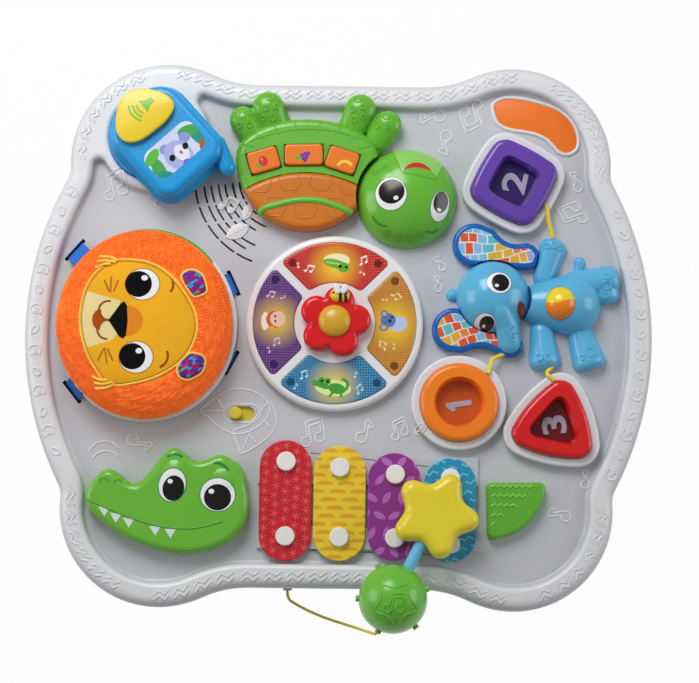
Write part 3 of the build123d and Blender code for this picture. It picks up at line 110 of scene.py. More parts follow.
class Graph:
    """The nodes of one material, made from expressions."""

    def __init__(self, name: str) -> None:
        """Starts a material with only its surface shader and output."""
        self.material = bpy.data.materials.new(name)
        self.material.use_nodes = True
        self.tree = self.material.node_tree
        self.shader = self.tree.nodes["Principled BSDF"]
        self.coordinates: bpy.types.NodeSocket | None = None

    def node(
        self,
        kind: str,
        inputs: dict[str | int, object] | None = None,
        output: str | int = 0,
        stops: Sequence[tuple[float, Colour]] = (),
        **settings: object,
    ) -> Term:
        """Adds a node."""
        made = self.tree.nodes.new(kind)
        for key, value in settings.items():
            setattr(made, key, value)
        if stops:
            ramp = made.color_ramp
            while len(ramp.elements) < len(stops):
                ramp.elements.new(0.5)
            for element, (place, colour) in zip(ramp.elements, stops):
                element.position = place
                element.color = linear(colour)
        for key, value in (inputs or {}).items():
            socket = made.inputs[key]
            if isinstance(value, Term):
                self.tree.links.new(value.socket, socket)
            elif isinstance(value, bpy.types.NodeSocket):
                self.tree.links.new(value, socket)
            else:
                socket.default_value = value
        return Term(self, made.outputs[output])

    def math(self, operation: str, *values: "Term | float", clamp: bool = False) -> Term:
        """One step of arithmetic."""
        return self.node("ShaderNodeMath", dict(enumerate(values)), operation=operation, use_clamp=clamp)

    def place(self) -> bpy.types.NodeSocket:
        """The point of the piece being shaded, in metres."""
        if self.coordinates is None:
            self.coordinates = self.node("ShaderNodeTexCoord", output="Object").socket
        return self.coordinates

    def frame_at(self, x: float, y: float, turn: float = 0) -> tuple[Term, Term, Term]:
        """Millimetre coordinates measured from a place on the table top."""
        mapped = self.mapped(x, y, turn, (1, 1), 1)
        split = self.node("ShaderNodeSeparateXYZ", {0: mapped}).socket.node
        return tuple(Term(self, split.outputs[i]) for i in range(3))

    def mapped(self, x: float, y: float, turn: float, size: Point2, tall: float = 1e9) -> Term:
        """Coordinates from a place, in units that may differ by direction; heights fade out by default."""
        return self.node(
            "ShaderNodeMapping",
            {
                "Vector": self.place(),
                "Location": at(x, y, DECK),
                "Rotation": (0, 0, math.radians(turn)),
                "Scale": (MM * size[0], MM * size[1], MM * tall),
            },
            vector_type="TEXTURE",
        )

    def cells(
        self,
        u: Term,
        v: Term,
        pitch: Point2,
        stops: Sequence[tuple[float, Colour]],
        line: float,
        seam: Colour,
    ) -> Term:
        """A brick of cells in colours picked from stops, with seams between."""
        row = self.math("FLOOR", v / pitch[1])
        shifted = u / pitch[0] + (row % 2) * 0.5
        column = self.math("FLOOR", shifted)
        spot = self.node("ShaderNodeCombineXYZ", {0: column, 1: row, 2: 3.7})
        pick = self.node("ShaderNodeTexWhiteNoise", {"Vector": spot}, output="Value", noise_dimensions="3D")
        ramp = self.node("ShaderNodeValToRGB", {0: pick}, stops=stops)
        ramp.socket.node.color_ramp.interpolation = "CONSTANT"
        across = (0.5 - abs(shifted - column - 0.5)) * pitch[0]
        along = (0.5 - abs(v / pitch[1] - row - 0.5)) * pitch[1]
        return self.mix((across.low(along) - line).inside(0.25), ramp, seam)

    def noise(self, size: float, detail: float = 2, seed: float = 0) -> Term:
        """Soft noise from 0 to 1 whose lumps are about size millimetres across."""
        moved = self.node(
            "ShaderNodeVectorMath", {0: self.place(), 1: (seed, seed * 0.7, seed * 0.3)}, operation="ADD"
        )
        return self.node(
            "ShaderNodeTexNoise",
            {"Vector": moved, "Scale": 1 / (size * MM), "Detail": detail, "Roughness": 0.5},
            output="Fac",
        )

    def mix(self, mask: Term | float, below: "Term | Colour", above: "Term | Colour") -> Term:
        """Above laid over below where the mask is 1."""
        colours = [c if isinstance(c, Term) else linear(c) for c in (below, above)]
        return self.node(
            "ShaderNodeMix", {0: mask, 6: colours[0], 7: colours[1]}, output=2, data_type="RGBA"
        )

    def shade(self, colour: "Term | Colour", amount: Term) -> Term:
        """A colour made lighter or darker by a factor about 1."""
        start = colour if isinstance(colour, Term) else self.node("ShaderNodeRGB")
        if not isinstance(colour, Term):
            start.socket.default_value = linear(colour)
        return self.node("ShaderNodeVectorMath", {0: start, "Scale": amount}, operation="SCALE")

    def finish(self, colour: Term, height: Term | None, roughness: Term | None) -> bpy.types.Material:
        """Links what varies into the shader."""
        self.tree.links.new(colour.socket, self.shader.inputs["Base Color"])
        if height is not None:
            normal = self.node("ShaderNodeBump", {"Height": height, "Distance": MM})
            self.tree.links.new(normal.socket, self.shader.inputs["Normal"])
        if roughness is not None:
            self.tree.links.new(roughness.socket, self.shader.inputs["Roughness"])
        return self.material


Paint = Callable[[Graph, Term], Term]
Relief = Callable[[Graph], Term]


@dataclass(frozen=True)
class Plastic:
    """Moulded plastic: a body colour with faint flow marks and a fine spark-eroded skin."""

    name: str
    colour: Colour
    roughness: float = 0.32
    mottle: float = 0.05
    grain: float = 0.012
    grain_size: float = 0.7
    specular: float = 0.5
    # Emission strength: painted light that makes a part glow though it is no lamp.
    glow: float = 0

    def make(self, paint: Paint | None = None, relief: Relief | None = None) -> bpy.types.Material:
        """Builds the material."""
        graph = Graph(self.name)
        flow = graph.noise(38, 2, 0.13)
        colour = graph.shade(self.colour, (flow - 0.5) * (2 * self.mottle) + 1)
        if paint:
            colour = paint(graph, colour)
        height = graph.noise(self.grain_size, 1, 0.31) * self.grain
        if relief:
            height = height + relief(graph)
        rough = graph.noise(14, 2, 0.57) * 0.14 + (self.roughness - 0.07)
        graph.shader.inputs["Specular IOR Level"].default_value = self.specular
        # Painted light: the part's own colour glows.
        if self.glow:
            graph.shader.inputs["Emission Strength"].default_value = self.glow
            graph.tree.links.new(colour.socket, graph.shader.inputs["Emission Color"])
        return graph.finish(colour, height, rough)


SHELL = Plastic("shell_white", (222, 223, 226), 0.34)


def dress(material: bpy.types.Material, nodes: str) -> None:
    """Gives each named carried-over solid the material."""
    for name in nodes.split():
        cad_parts[name].data.materials.clear()
        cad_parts[name].data.materials.append(material)
        log.info("%s wears %s", name, material.name)


@dataclass
class Cord:
    """The limp braided cord that ties the mallet to the front of the table."""

    radius: float = 1.1
    leave: Point3 = (-38, -204, 321)
    ball_at: Point3 = (44.6, -208.5, RIM + 22.94)
    ball_radius: float = 28
    run_in: float = 8
    bearing: float = -114
    dip: float = -35
    route: tuple[Point3, ...] = (
        (-37.8, -210.5, 320.8), (-32.5, -214.3, 312.5), (-21.5, -220.5, 303.5), (-6, -226.7, 299),
        (9, -231, 303), (21, -234.2, 314.5), (29, -236.2, 329), (32, -236.6, 341),
    )
    colour: Colour = (232, 205, 50)

    def build(self) -> bpy.types.Object:
        points = [at(*self.leave)] + [at(*p) for p in self.route]
        turn, dip = math.radians(self.bearing), math.radians(self.dip)
        way = Vector((math.cos(turn) * math.cos(dip), math.sin(turn) * math.cos(dip), math.sin(dip)))
        end = at(*self.ball_at) + way * self.ball_radius * MM
        points += [end + way * self.run_in * MM, end]
        bpy.ops.object.select_all(action="DESELECT")
        bpy.ops.curve.primitive_nurbs_curve_add()
        piece = bpy.context.object
        piece.name = piece.data.name = "mallet_lead"
        piece.matrix_world = Matrix.Identity(4)
        piece.data.splines.clear()
        spline = piece.data.splines.new("NURBS")
        spline.points.add(len(points) - 1)
        for target, point in zip(spline.points, points):
            target.co = (*point, 1)
            target.radius = self.radius * MM
        spline.order_u = 3
        spline.use_endpoint_u = True
        spline.resolution_u = 12
        piece.data.dimensions = "3D"
        piece.data.bevel_depth = 1
        piece.data.bevel_resolution = 3
        piece.data.use_fill_caps = True
        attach(piece, "table")
        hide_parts("mallet_cord")
        piece.data.materials.append(Plastic("lead_braid", self.colour, 0.7).make())
        return piece


@dataclass
class Studio:
    """The pale floor, the soft lights and the camera over the table."""

    aim: Point3 = (8.8, -7.5, RIM)
    distance: float = 1389
    tilt: float = 7
    roll: float = 0.75
    lens: float = 90.25
    sky: float = 0.26

    def camera(self) -> None:
        """Stands the camera almost straight above the table."""
        tilt, roll = math.radians(self.tilt), math.radians(self.roll)
        back = Vector((0, -math.sin(tilt), math.cos(tilt)))
        up = Vector((0, math.cos(tilt), math.sin(tilt)))
        right = Vector((1, 0, 0))
        side = right * math.cos(roll) + up * math.sin(roll)
        rise = up * math.cos(roll) - right * math.sin(roll)
        place = at(*self.aim) + back * self.distance * MM
        bpy.ops.object.camera_add()
        camera = bpy.context.object
        camera.name = "camera"
        camera.matrix_world = Matrix((side, rise, back)).transposed().to_4x4()
        camera.matrix_world.translation = place
        camera.data.lens = self.lens
        camera.data.sensor_width = 36
        camera.data.clip_end = 50
        bpy.context.scene.camera = camera

    def lamp(self, name: str, place: Point3, size: float, power: float) -> None:
        """One square soft box aimed at the table."""
        bpy.ops.object.light_add(type="AREA", location=place)
        lamp = bpy.context.object
        lamp.name = name
        lamp.data.shape = "SQUARE"
        lamp.data.size = size
        lamp.data.energy = power
        lamp.rotation_mode = "QUATERNION"
        lamp.rotation_quaternion = (Vector(place) - Vector((0, 0, 0.35))).to_track_quat("Z", "Y")

    def backdrop(self) -> None:
        """A white floor that the camera and reflections see as plain white."""
        bpy.ops.mesh.primitive_plane_add(size=8)
        floor = bpy.context.object
        floor.name = "floor"
        graph = Graph("floor_white")
        graph.shader.inputs["Base Color"].default_value = (0.9, 0.9, 0.9, 1)
        graph.shader.inputs["Roughness"].default_value = 0.9
        path = graph.node("ShaderNodeLightPath").socket.node
        seen = Term(graph, path.outputs["Is Camera Ray"]).high(Term(graph, path.outputs["Is Glossy Ray"]))
        seen = seen.high(Term(graph, path.outputs["Is Transmission Ray"])) * 0.96
        glow = graph.node("ShaderNodeEmission", {"Color": (1, 1, 1, 1), "Strength": 1})
        both = graph.node("ShaderNodeMixShader", {0: seen, 1: graph.shader.outputs[0], 2: glow})
        output = graph.tree.nodes["Material Output"]
        graph.tree.links.new(both.socket, output.inputs["Surface"])
        floor.data.materials.append(graph.material)

    def world(self) -> None:
        """Even light from all round, white where it is seen."""
        world = bpy.data.worlds.new("studio")
        bpy.context.scene.world = world
        world.use_nodes = True
        tree = world.node_tree
        ground = tree.nodes["Background"]
        ground.inputs["Color"].default_value = (1, 1, 1, 1)
        ground.inputs["Strength"].default_value = self.sky
        seen = tree.nodes.new("ShaderNodeBackground")
        seen.inputs["Color"].default_value = (1, 1, 1, 1)
        path = tree.nodes.new("ShaderNodeLightPath")
        both = tree.nodes.new("ShaderNodeMixShader")
        tree.links.new(path.outputs["Is Camera Ray"], both.inputs[0])
        tree.links.new(ground.outputs[0], both.inputs[1])
        tree.links.new(seen.outputs[0], both.inputs[2])
        tree.links.new(both.outputs[0], tree.nodes["World Output"].inputs["Surface"])

    def build(self) -> None:
        """Sets up the whole studio."""
        self.camera()
        self.backdrop()
        self.world()
        for lamp in (
            ("key_box", (-0.35, 0.85, 1.3), 0.7, 12), ("left_box", (-1.7, 0.1, 0.95), 1, 9),
            ("right_box", (1.7, 0.1, 0.95), 1, 9),
        ):
            self.lamp(*lamp)
        bpy.context.scene.view_settings.view_transform = "Standard"


@dataclass(frozen=True)
class Disc:
    """A printed ellipse."""

    x: float
    y: float
    rx: float
    ry: float
    colour: Colour
    turn: float = 0

    def distance(self, graph: Graph) -> Term:
        """Millimetres outside the edge."""
        mapped = graph.mapped(self.x, self.y, self.turn, (self.rx, self.ry))
        length = graph.node("ShaderNodeVectorMath", {0: mapped}, output="Value", operation="LENGTH")
        return (length - 1) * min(self.rx, self.ry)


@dataclass(frozen=True)
class Line:
    """A printed stroke with round ends."""

    x0: float
    y0: float
    x1: float
    y1: float
    width: float
    colour: Colour

    def distance(self, graph: Graph) -> Term:
        """Millimetres outside the edge."""
        run = math.dist((self.x0, self.y0), (self.x1, self.y1))
        turn = math.degrees(math.atan2(self.y1 - self.y0, self.x1 - self.x0))
        u, v, _ = graph.frame_at((self.x0 + self.x1) / 2, (self.y0 + self.y1) / 2, turn)
        beyond = (abs(u) - run / 2).high(0)
        return (beyond * beyond + v * v) ** 0.5 - self.width / 2


@dataclass(frozen=True)
class Arc:
    """A printed stroke along part of a circle, from one bearing round to another."""

    x: float
    y: float
    radius: float
    start: float
    end: float
    width: float
    colour: Colour

    def distance(self, graph: Graph) -> Term:
        """Millimetres outside the edge."""
        u, v, _ = graph.frame_at(self.x, self.y, (self.start + self.end) / 2)
        ring = abs((u * u + v * v) ** 0.5 - self.radius) - self.width / 2
        bearing = abs(graph.math("ARCTAN2", v, u))
        return ring.high((bearing - math.radians((self.end - self.start) / 2)) * self.radius)


@dataclass(frozen=True)
class Patch:
    """A printed convex shape with straight sides, its corners given anticlockwise."""

    corners: tuple[Point2, ...]
    colour: Colour

    def distance(self, graph: Graph) -> Term:
        """Millimetres outside the edge."""
        worst: Term | None = None
        for (x0, y0), (x1, y1) in zip(self.corners, self.corners[1:] + self.corners[:1]):
            run = math.dist((x0, y0), (x1, y1))
            normal = ((y1 - y0) / run, (x0 - x1) / run, 0)
            along = graph.node(
                "ShaderNodeVectorMath",
                {0: graph.place(), 1: normal},
                output="Value",
                operation="DOT_PRODUCT",
            )
            side = along / MM - (x0 * normal[0] + (y0 + TABLE_Y) * normal[1])
            worst = side if worst is None else worst.high(side)
        return worst


Mark = Disc | Line | Arc | Patch


@dataclass(frozen=True)
class Print:
    """Marks laid one over another."""

    marks: tuple[Mark, ...]
    soft: float = 0.3

    def __call__(self, graph: Graph, colour: Term) -> Term:
        """The colour with the marks over it."""
        for mark in self.marks:
            colour = graph.mix(mark.distance(graph).inside(self.soft), colour, mark.colour)
        return colour


WHITE: Colour = (238, 240, 242)
BLACK: Colour = (14, 12, 13)


def eye(
    x: float, y: float, size: Point2, turn: float, pupil: Point2, pupil_size: Point2, glint: Point2,
    glint_size: float, edge: Colour,
) -> tuple[Mark, ...]:
    """A printed eye: thin rim, white, black pupil and glint, the last two placed from its middle."""
    return (
        Disc(x, y, size[0] + 0.8, size[1] + 0.8, edge, turn),
        Disc(x, y, *size, WHITE, turn),
        Disc(x + pupil[0], y + pupil[1], *pupil_size, BLACK, turn),
        Disc(x + glint[0], y + glint[1], glint_size, glint_size * 0.85, WHITE, turn),
    )


def note_marks(
    x: float, y: float, turn: float, size: float, pair: bool, colour: Colour
) -> tuple[Mark, ...]:
    """A small printed music note, single or joined in a pair."""
    angle = math.radians(turn)

    def put(u: float, v: float) -> Point2:
        """A point of the note, turned and placed."""
        return (
            x + size * (u * math.cos(angle) - v * math.sin(angle)),
            y + size * (u * math.sin(angle) + v * math.cos(angle)),
        )

    heads = ((-0.35, -0.4), (0.35, -0.25)) if pair else ((-0.12, -0.4),)
    made: list[Mark] = []
    for u, v in heads:
        made.append(Disc(*put(u, v), 0.2 * size, 0.15 * size, colour, turn + 20))
        made.append(Line(*put(u + 0.16, v), *put(u + 0.16, v + 0.8), 0.09 * size, colour))
    if pair:
        made.append(Line(*put(-0.19, 0.38), *put(0.51, 0.53), 0.2 * size, colour))
    else:
        made.append(Line(*put(0.04, 0.4), *put(0.33, 0.12), 0.11 * size, colour))
    return tuple(made)


class Ground:
    """Finds the surface of named solids under a place on the table."""

    def __init__(self, *nodes: str) -> None:
        """Builds one search tree per solid."""
        graph = bpy.context.evaluated_depsgraph_get()
        self.trees = [BVHTree.FromObject(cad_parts[name], graph) for name in nodes]

    @classmethod
    def of(cls, piece: bpy.types.Object) -> "Ground":
        """The surface of a new piece."""
        ground = cls()
        ground.trees = [BVHTree.FromObject(piece, bpy.context.evaluated_depsgraph_get())]
        return ground

    def cast(self, start: Vector, way: Vector, reach: float = 1) -> tuple[Vector, Vector] | None:
        """The first point and normal met from a start along a way."""
        best = None
        for tree in self.trees:
            point, normal, _, run = tree.ray_cast(start, way, reach)
            if point is not None and (best is None or run < best[2]):
                best = (point, normal, run)
        return best[:2] if best else None

    def drop(self, x: float, y: float) -> tuple[Vector, Vector] | None:
        """The highest point and normal at a place on the table."""
        return self.cast(at(x, y, 480), Vector((0, 0, -1)), 0.3)


def choose(piece: bpy.types.Object | None = None) -> None:
    """Leaves only this piece selected and active, or nothing selected."""
    bpy.ops.object.select_all(action="DESELECT")
    if piece:
        piece.select_set(True)
        bpy.context.view_layer.objects.active = piece


def refine(piece: bpy.types.Object, kind: str, **settings: float | str) -> None:
    """Applies one modifier with its settings to the active piece."""
    made = piece.modifiers.new("step", kind)
    for key, value in settings.items():
        setattr(made, key, value)
    bpy.ops.object.modifier_apply(modifier="step")


def mend(piece: bpy.types.Object, join: bool = True) -> None:
    """Turns the faces outwards, with doubled points joined first."""
    choose(piece)
    bpy.ops.object.mode_set(mode="EDIT")
    bpy.ops.mesh.select_all(action="SELECT")
    if join:
        bpy.ops.mesh.remove_doubles(threshold=0.00001)
    bpy.ops.mesh.normals_make_consistent(inside=False)
    bpy.ops.object.mode_set(mode="OBJECT")


def weld(piece: bpy.types.Object) -> None:
    """Mends a mesh and shades it with its edges kept."""
    mend(piece)
    bpy.ops.object.shade_smooth_by_angle(angle=math.radians(40))


def drawn(runs: Sequence[Run], **settings: float | str | bool) -> bpy.types.Object:
    """A mesh from bevelled lines in space, each with whether it closes."""
    choose()
    bpy.ops.curve.primitive_bezier_curve_add()
    piece = bpy.context.object
    piece.matrix_world = Matrix.Identity(4)
    piece.data.splines.clear()
    for points, closed in runs:
        if len(points) < 2:
            continue
        spline = piece.data.splines.new("POLY")
        spline.points.add(len(points) - 1)
        for target, point in zip(spline.points, points):
            target.co = (*point, 1)
        spline.use_cyclic_u = closed
    for key, value in settings.items():
        setattr(piece.data, key, value)
    bpy.ops.object.convert(target="MESH")
    return bpy.context.object


def settle(
    piece: bpy.types.Object, name: str, material: bpy.types.Material, body: str | None
) -> None:
    """Names and colours a finished piece and logs its faces, riding a body unless none is given."""
    piece.name = piece.data.name = name
    piece.data.materials.clear()
    piece.data.materials.append(material)
    if body:
        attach(piece, body)
    log.info("%s: %d faces", name, len(piece.data.polygons))


def new_mesh(points: Sequence[Vector], faces: Sequence[Sequence[int]]) -> bpy.types.Object:
    """A smooth mesh object from points and faces, its faces turned outwards."""
    mesh = bpy.data.meshes.new("made")
    mesh.from_pydata([tuple(p) for p in points], [], [tuple(f) for f in faces])
    piece = bpy.data.objects.new("made", mesh)
    bpy.context.scene.collection.objects.link(piece)
    mend(piece, False)
    bpy.ops.object.shade_smooth()
    return piece


@dataclass
class Beading:
    """Raised lines that lie on a surface, as moulded or stitched edges do."""

    radius: float
    lift: float = 0
    step: float = 1.6
    sides: int = 2

    def draped(self, line: Sequence[Point2], ground: Ground, closed: bool) -> list[Vector]:
        """A line in millimetres resampled and dropped on the ground."""
        ring = list(line) + ([line[0]] if closed else [])
        spots: list[Point2] = []
        for (x0, y0), (x1, y1) in zip(ring, ring[1:]):
            count = max(1, round(math.dist((x0, y0), (x1, y1)) / self.step))
            spots += [(x0 + (x1 - x0) * i / count, y0 + (y1 - y0) * i / count) for i in range(count)]
        hits = [ground.drop(*spot) for spot in (spots if closed else [*spots, ring[-1]])]
        return [hit[0] + Vector((0, 0, self.lift * MM)) for hit in hits if hit]

    def lay(self, runs: Sequence[Run]) -> bpy.types.Object:
        """One mesh of round beads along several runs of points."""
        piece = drawn(
            runs, dimensions="3D", bevel_depth=self.radius * MM, bevel_resolution=self.sides,
            use_fill_caps=True,
        )
        bpy.ops.object.shade_smooth()
        return piece

    def over(self, lines: Sequence[Run], ground: Ground) -> bpy.types.Object:
        """Beads along flat lines dropped on the ground."""
        return self.lay([(self.draped(line, ground, closed), closed) for line, closed in lines])


def arc_points(
    x: float, y: float, rx: float, ry: float, start: float, end: float, count: int = 10
) -> list[Point2]:
    """Points along part of an ellipse."""
    turns = [math.radians(start + (end - start) * i / count) for i in range(count + 1)]
    return [(x + rx * math.cos(t), y + ry * math.sin(t)) for t in turns]


def placed(points: Sequence[Point2], x: float, y: float, turn: float, size: float = 1) -> list[Point2]:
    """Points of a shape scaled, turned and moved."""
    c, s = math.cos(math.radians(turn)) * size, math.sin(math.radians(turn)) * size
    return [(x + u * c - v * s, y + u * s + v * c) for u, v in points]


def drawn_in(outline: Sequence[Point2], centre: Point2, share: float) -> list[Point2]:
    """An outline scaled about a point."""
    return [(centre[0] + (x - centre[0]) * share, centre[1] + (y - centre[1]) * share) for x, y in outline]


def smooth_step(a: float, b: float, c: float, d: float, t: float) -> float:
    """A place a share t of the way from b to c, on the smooth curve through all four."""
    bend = (2 * a - 5 * b + 4 * c - d) * t**2
    twist = (3 * b - a - 3 * c + d) * t**3
    return 0.5 * (2 * b + (c - a) * t + bend + twist)


def rounded(points: Sequence[Point2], steps: int = 8) -> list[Point2]:
    """A closed smooth line through the points."""
    made: list[Point2] = []
    count = len(points)
    for i in range(count):
        near = [points[(i + k - 1) % count] for k in range(4)]
        made += [tuple(smooth_step(*four, j / steps) for four in zip(*near)) for j in range(steps)]
    return made


SINGLE_NOTE = [(2.8, 3.8), (2.8, 15), (4.6, 16.5), (10.2, 11.5), (8.2, 9.4), (5.4, 11.6), (5.4, 0)]
SINGLE_NOTE += arc_points(0.6, 0, 4.8, 4.6, -12, -296, 12)
PAIR_NOTE = [(-4.4, 2.9), (-4.4, 15), (10, 17.2), (10, 1.4)]
PAIR_NOTE += arc_points(5.8, 0.8, 4.2, 4, -12, -296, 12) + [(7.6, 4.2), (7.6, 13), (-2, 11.5), (-2, -1)]
PAIR_NOTE += arc_points(-6.2, -1.2, 4.2, 4, -12, -296, 12)
LEAF = arc_points(0, -6.2, 11.5, 11.5, 33, 147, 8) + arc_points(0, 6.2, 11.5, 11.5, 213, 327, 8)


@dataclass
class Rim:
    """The table's outer edge as a line that patterns follow."""

    height: float = 330
    count: int = 1440
    reach: float = 0.4
    span: int = 6

    def __post_init__(self) -> None:
        """Finds the wall of the top all the way round."""
        ground = Ground("top_shell")
        level = at(0, 0, self.height)
        self.points: list[Point2] = []
        for i in range(self.count):
            turn = 2 * math.pi * i / self.count
            way = Vector((math.cos(turn), math.sin(turn), 0))
            hit = ground.cast(level + way * self.reach, -way, self.reach)
            self.points.append((hit[0].x / MM, hit[0].y / MM - TABLE_Y))

    def inset(self, index: float, depth: float) -> Point2:
        """A point by place in the round and distance inwards."""
        i = round(index) % self.count
        x0, y0 = self.points[(i - self.span) % self.count]
        x1, y1 = self.points[(i + self.span) % self.count]
        run = math.dist((x0, y0), (x1, y1))
        x, y = self.points[i]
        return x - depth * (y1 - y0) / run, y + depth * (x1 - x0) / run

    def stations(self, start: float, end: float, pitch: float) -> list[tuple[int, float]]:
        """Places at an even pitch between two bearings, each with the edge's direction."""
        first, last = round(start * self.count / 360), round(end * self.count / 360)
        found: list[tuple[int, float]] = []
        due = 0
        gone = 0
        for i in range(first, last):
            a, b = self.points[i % self.count], self.points[(i + 1) % self.count]
            if gone >= due:
                found.append((i, math.degrees(math.atan2(b[1] - a[1], b[0] - a[0]))))
                due += pitch
            gone += math.dist(a, b)
        return found


@dataclass
class TableRelief:
    """Everything moulded into the rim and deck: zigzags, leaves, rings, notes and arcs."""

    line: float = 0.75
    zigzag_pitch: float = 8.8
    zigzag_depths: tuple[Point2, ...] = ((5.6, 9), (9.6, 13))
    zigzag_runs: tuple[Point2, ...] = ((30, 53), (57, 123), (127, 150), (210, 233), (237, 303), (307, 330))
    petal_runs: tuple[Point2, ...] = ((-27, 27), (153, 207))
    petal_pitch: float = 17
    petal_depth: float = 9.2
    notes: tuple[tuple[float, float, float, float, bool], ...] = (
        (79.5, 178, 125, 1, False), (104.5, 184.5, 200, 1, True), (85.4, 162, -165, 0.95, False),
        (-180.4, 112, 15, 1, True), (-146.4, 103.6, -20, 0.7, False), (-161.6, -86.4, -90, 0.95, False),
        (192, 100.5, 112, 0.9, True), (191, 120.6, 42, 0.8, False), (82.5, 54, 60, 0.62, False),
        (79.4, 37, 30, 0.6, False), (-19, -85, 10, 0.95, True), (18.5, -83, -8, 0.9, False),
        (50, -80, 20, 0.7, True), (181, -143.6, 100, 0.85, False), (196, -118, 20, 0.7, False),
    )
    leaf: Four = (66, -76, 40, 0.6)
    grille_leaves: tuple[Four, ...] = ((-82.3, 81.3, 30, 1.1), (-74.6, 97.6, 70, 0.75))
    grille_note: Four = (-92, 100, -30, 0.7)
    grille_top: float = 0.9
    echoes: tuple[Five, ...] = ((-183.5, -102.7, 14.1, 39, 158), (-182.3, -109.2, 12.9, 44, 147))

    def zigzags(self, rim: Rim) -> list[Run]:
        """Two rows of chevrons along the front, the back and the lobes."""
        made: list[Run] = []
        for start, end in self.zigzag_runs:
            stations = rim.stations(start, end, self.zigzag_pitch / 2)
            for outer, inner in self.zigzag_depths:
                for first in range(0, len(stations) - 3, 4):
                    part = stations[first:first + 4]
                    line = [rim.inset(s[0], (outer, inner)[k % 2]) for k, s in enumerate(part)]
                    made.append((line, False))
        return made

    def petals(self, rim: Rim) -> list[Run]:
        """Rings with petals, leaves and sprigs in turn along the sides."""
        made: list[Run] = []
        for start, end in self.petal_runs:
            for k, (index, turn) in enumerate(rim.stations(start, end, self.petal_pitch)):
                x, y = rim.inset(index, self.petal_depth)
                if k % 2:
                    made.append((placed(LEAF, x, y, turn + 35 * (1 if k % 4 == 1 else -1), 0.42), True))
                    continue
                made.append((arc_points(x, y, 4.6, 4.6, turn + 40, turn + 320, 14), False))
                for spread in (-35, 0, 35):
                    made.append((placed([(-1.2, 0), (3.4, 0)], x, y, turn + spread), False))
        return made

    @staticmethod
    def veins(x: float, y: float, turn: float, size: float) -> list[Run]:
        """The midrib of a leaf and its side veins."""
        parts = [[(-9, 0), (9, 0)]] + [[(u, 0), (u + 2.2, v)] for u in (-4, 0, 4) for v in (2.8, -2.8)]
        return [(placed(part, x, y, turn, size), False) for part in parts]

    def build(self) -> None:
        """Lays all the lines on the top, and the leaves and the note that stand on the grille's slots."""
        rim = Rim()
        lines = self.zigzags(rim) + self.petals(rim)
        for x, y, turn, size, pair in self.notes:
            lines.append((placed(PAIR_NOTE if pair else SINGLE_NOTE, x, y, turn, size), True))
        lines.append((placed(LEAF, *self.leaf), True))
        lines += self.veins(*self.leaf)
        lines += [(arc_points(x, y, reach, reach, *ends, 14), False) for x, y, reach, *ends in self.echoes]
        moulded = Beading(self.line, -0.12).over(lines, Ground("top_shell"))
        settle(moulded, "moulded_lines", SHELL.make(), "table")
        shapes = [placed(LEAF, *leaf) for leaf in self.grille_leaves]
        shapes.append(placed(PAIR_NOTE, *self.grille_note))
        for k, outline in enumerate(shapes, 1):
            plate = Plate(outline, DECK - 0.4, DECK + self.grille_top, 0.3).build()
            settle(plate, f"grille_shape_{k}", SHELL.make(), "table")
        veins = [run for leaf in self.grille_leaves for run in self.veins(*leaf)]
        runs = [([at(x, y, DECK + self.grille_top) for x, y in line], closed) for line, closed in veins]
        settle(Beading(0.45).lay(runs), "grille_veins", SHELL.make(), "table")


@dataclass
class Plate:
    """A thin raised shape with a rounded edge."""

    outline: Sequence[Point2]
    bottom: float
    top: float
    edge: float = 0.5

    def build(self) -> bpy.types.Object:
        """Fills the outline and gives it its height."""
        edge = self.edge * MM
        piece = drawn(
            [([at(x, y, 0) for x, y in self.outline], True)], dimensions="2D", fill_mode="BOTH",
            extrude=(self.top - self.bottom - 2 * self.edge) / 2 * MM, bevel_depth=edge, bevel_resolution=2,
            offset=-edge,
        )
        piece.data.transform(Matrix.Translation((0, 0, (self.top + self.bottom) / 2 * MM)))
        weld(piece)
        return piece


@dataclass
class Moulding:
    """A soft shape melted together from chains of flattened balls."""

    voxel: float = 1
    relax: int = 6

    def build(self, chains: Sequence[Sequence[Five]]) -> bpy.types.Object:
        """Makes the shape; a ball is its place, height over the deck, reach and half height."""
        choose()
        bpy.ops.mesh.primitive_ico_sphere_add(subdivisions=3, radius=1)
        seed = bpy.context.object
        ball = [v.co.copy() for v in seed.data.vertices]
        skin = [tuple(p.vertices) for p in seed.data.polygons]
        bpy.data.objects.remove(seed)
        points: list[Vector] = []
        faces: list[tuple[int, ...]] = []
        for chain in chains:
            for a, b in zip(chain, chain[1:] or chain):
                count = max(1, math.ceil(math.dist(a[:3], b[:3]) / (0.25 * min(a[3], b[3]))))
                for i in range(count + 1):
                    x, y, h, reach, half = (p + (q - p) * i / count for p, q in zip(a, b))
                    middle = at(x, y, DECK + h)
                    start = len(points)
                    points += [middle + Vector((c.x * reach, c.y * reach, c.z * half)) * MM for c in ball]
                    faces += [tuple(start + k for k in face) for face in skin]
        piece = new_mesh(points, faces)
        refine(piece, "REMESH", mode="VOXEL", voxel_size=self.voxel * MM)
        refine(piece, "SMOOTH", factor=0.5, iterations=self.relax)
        bpy.ops.object.shade_smooth()
        return piece


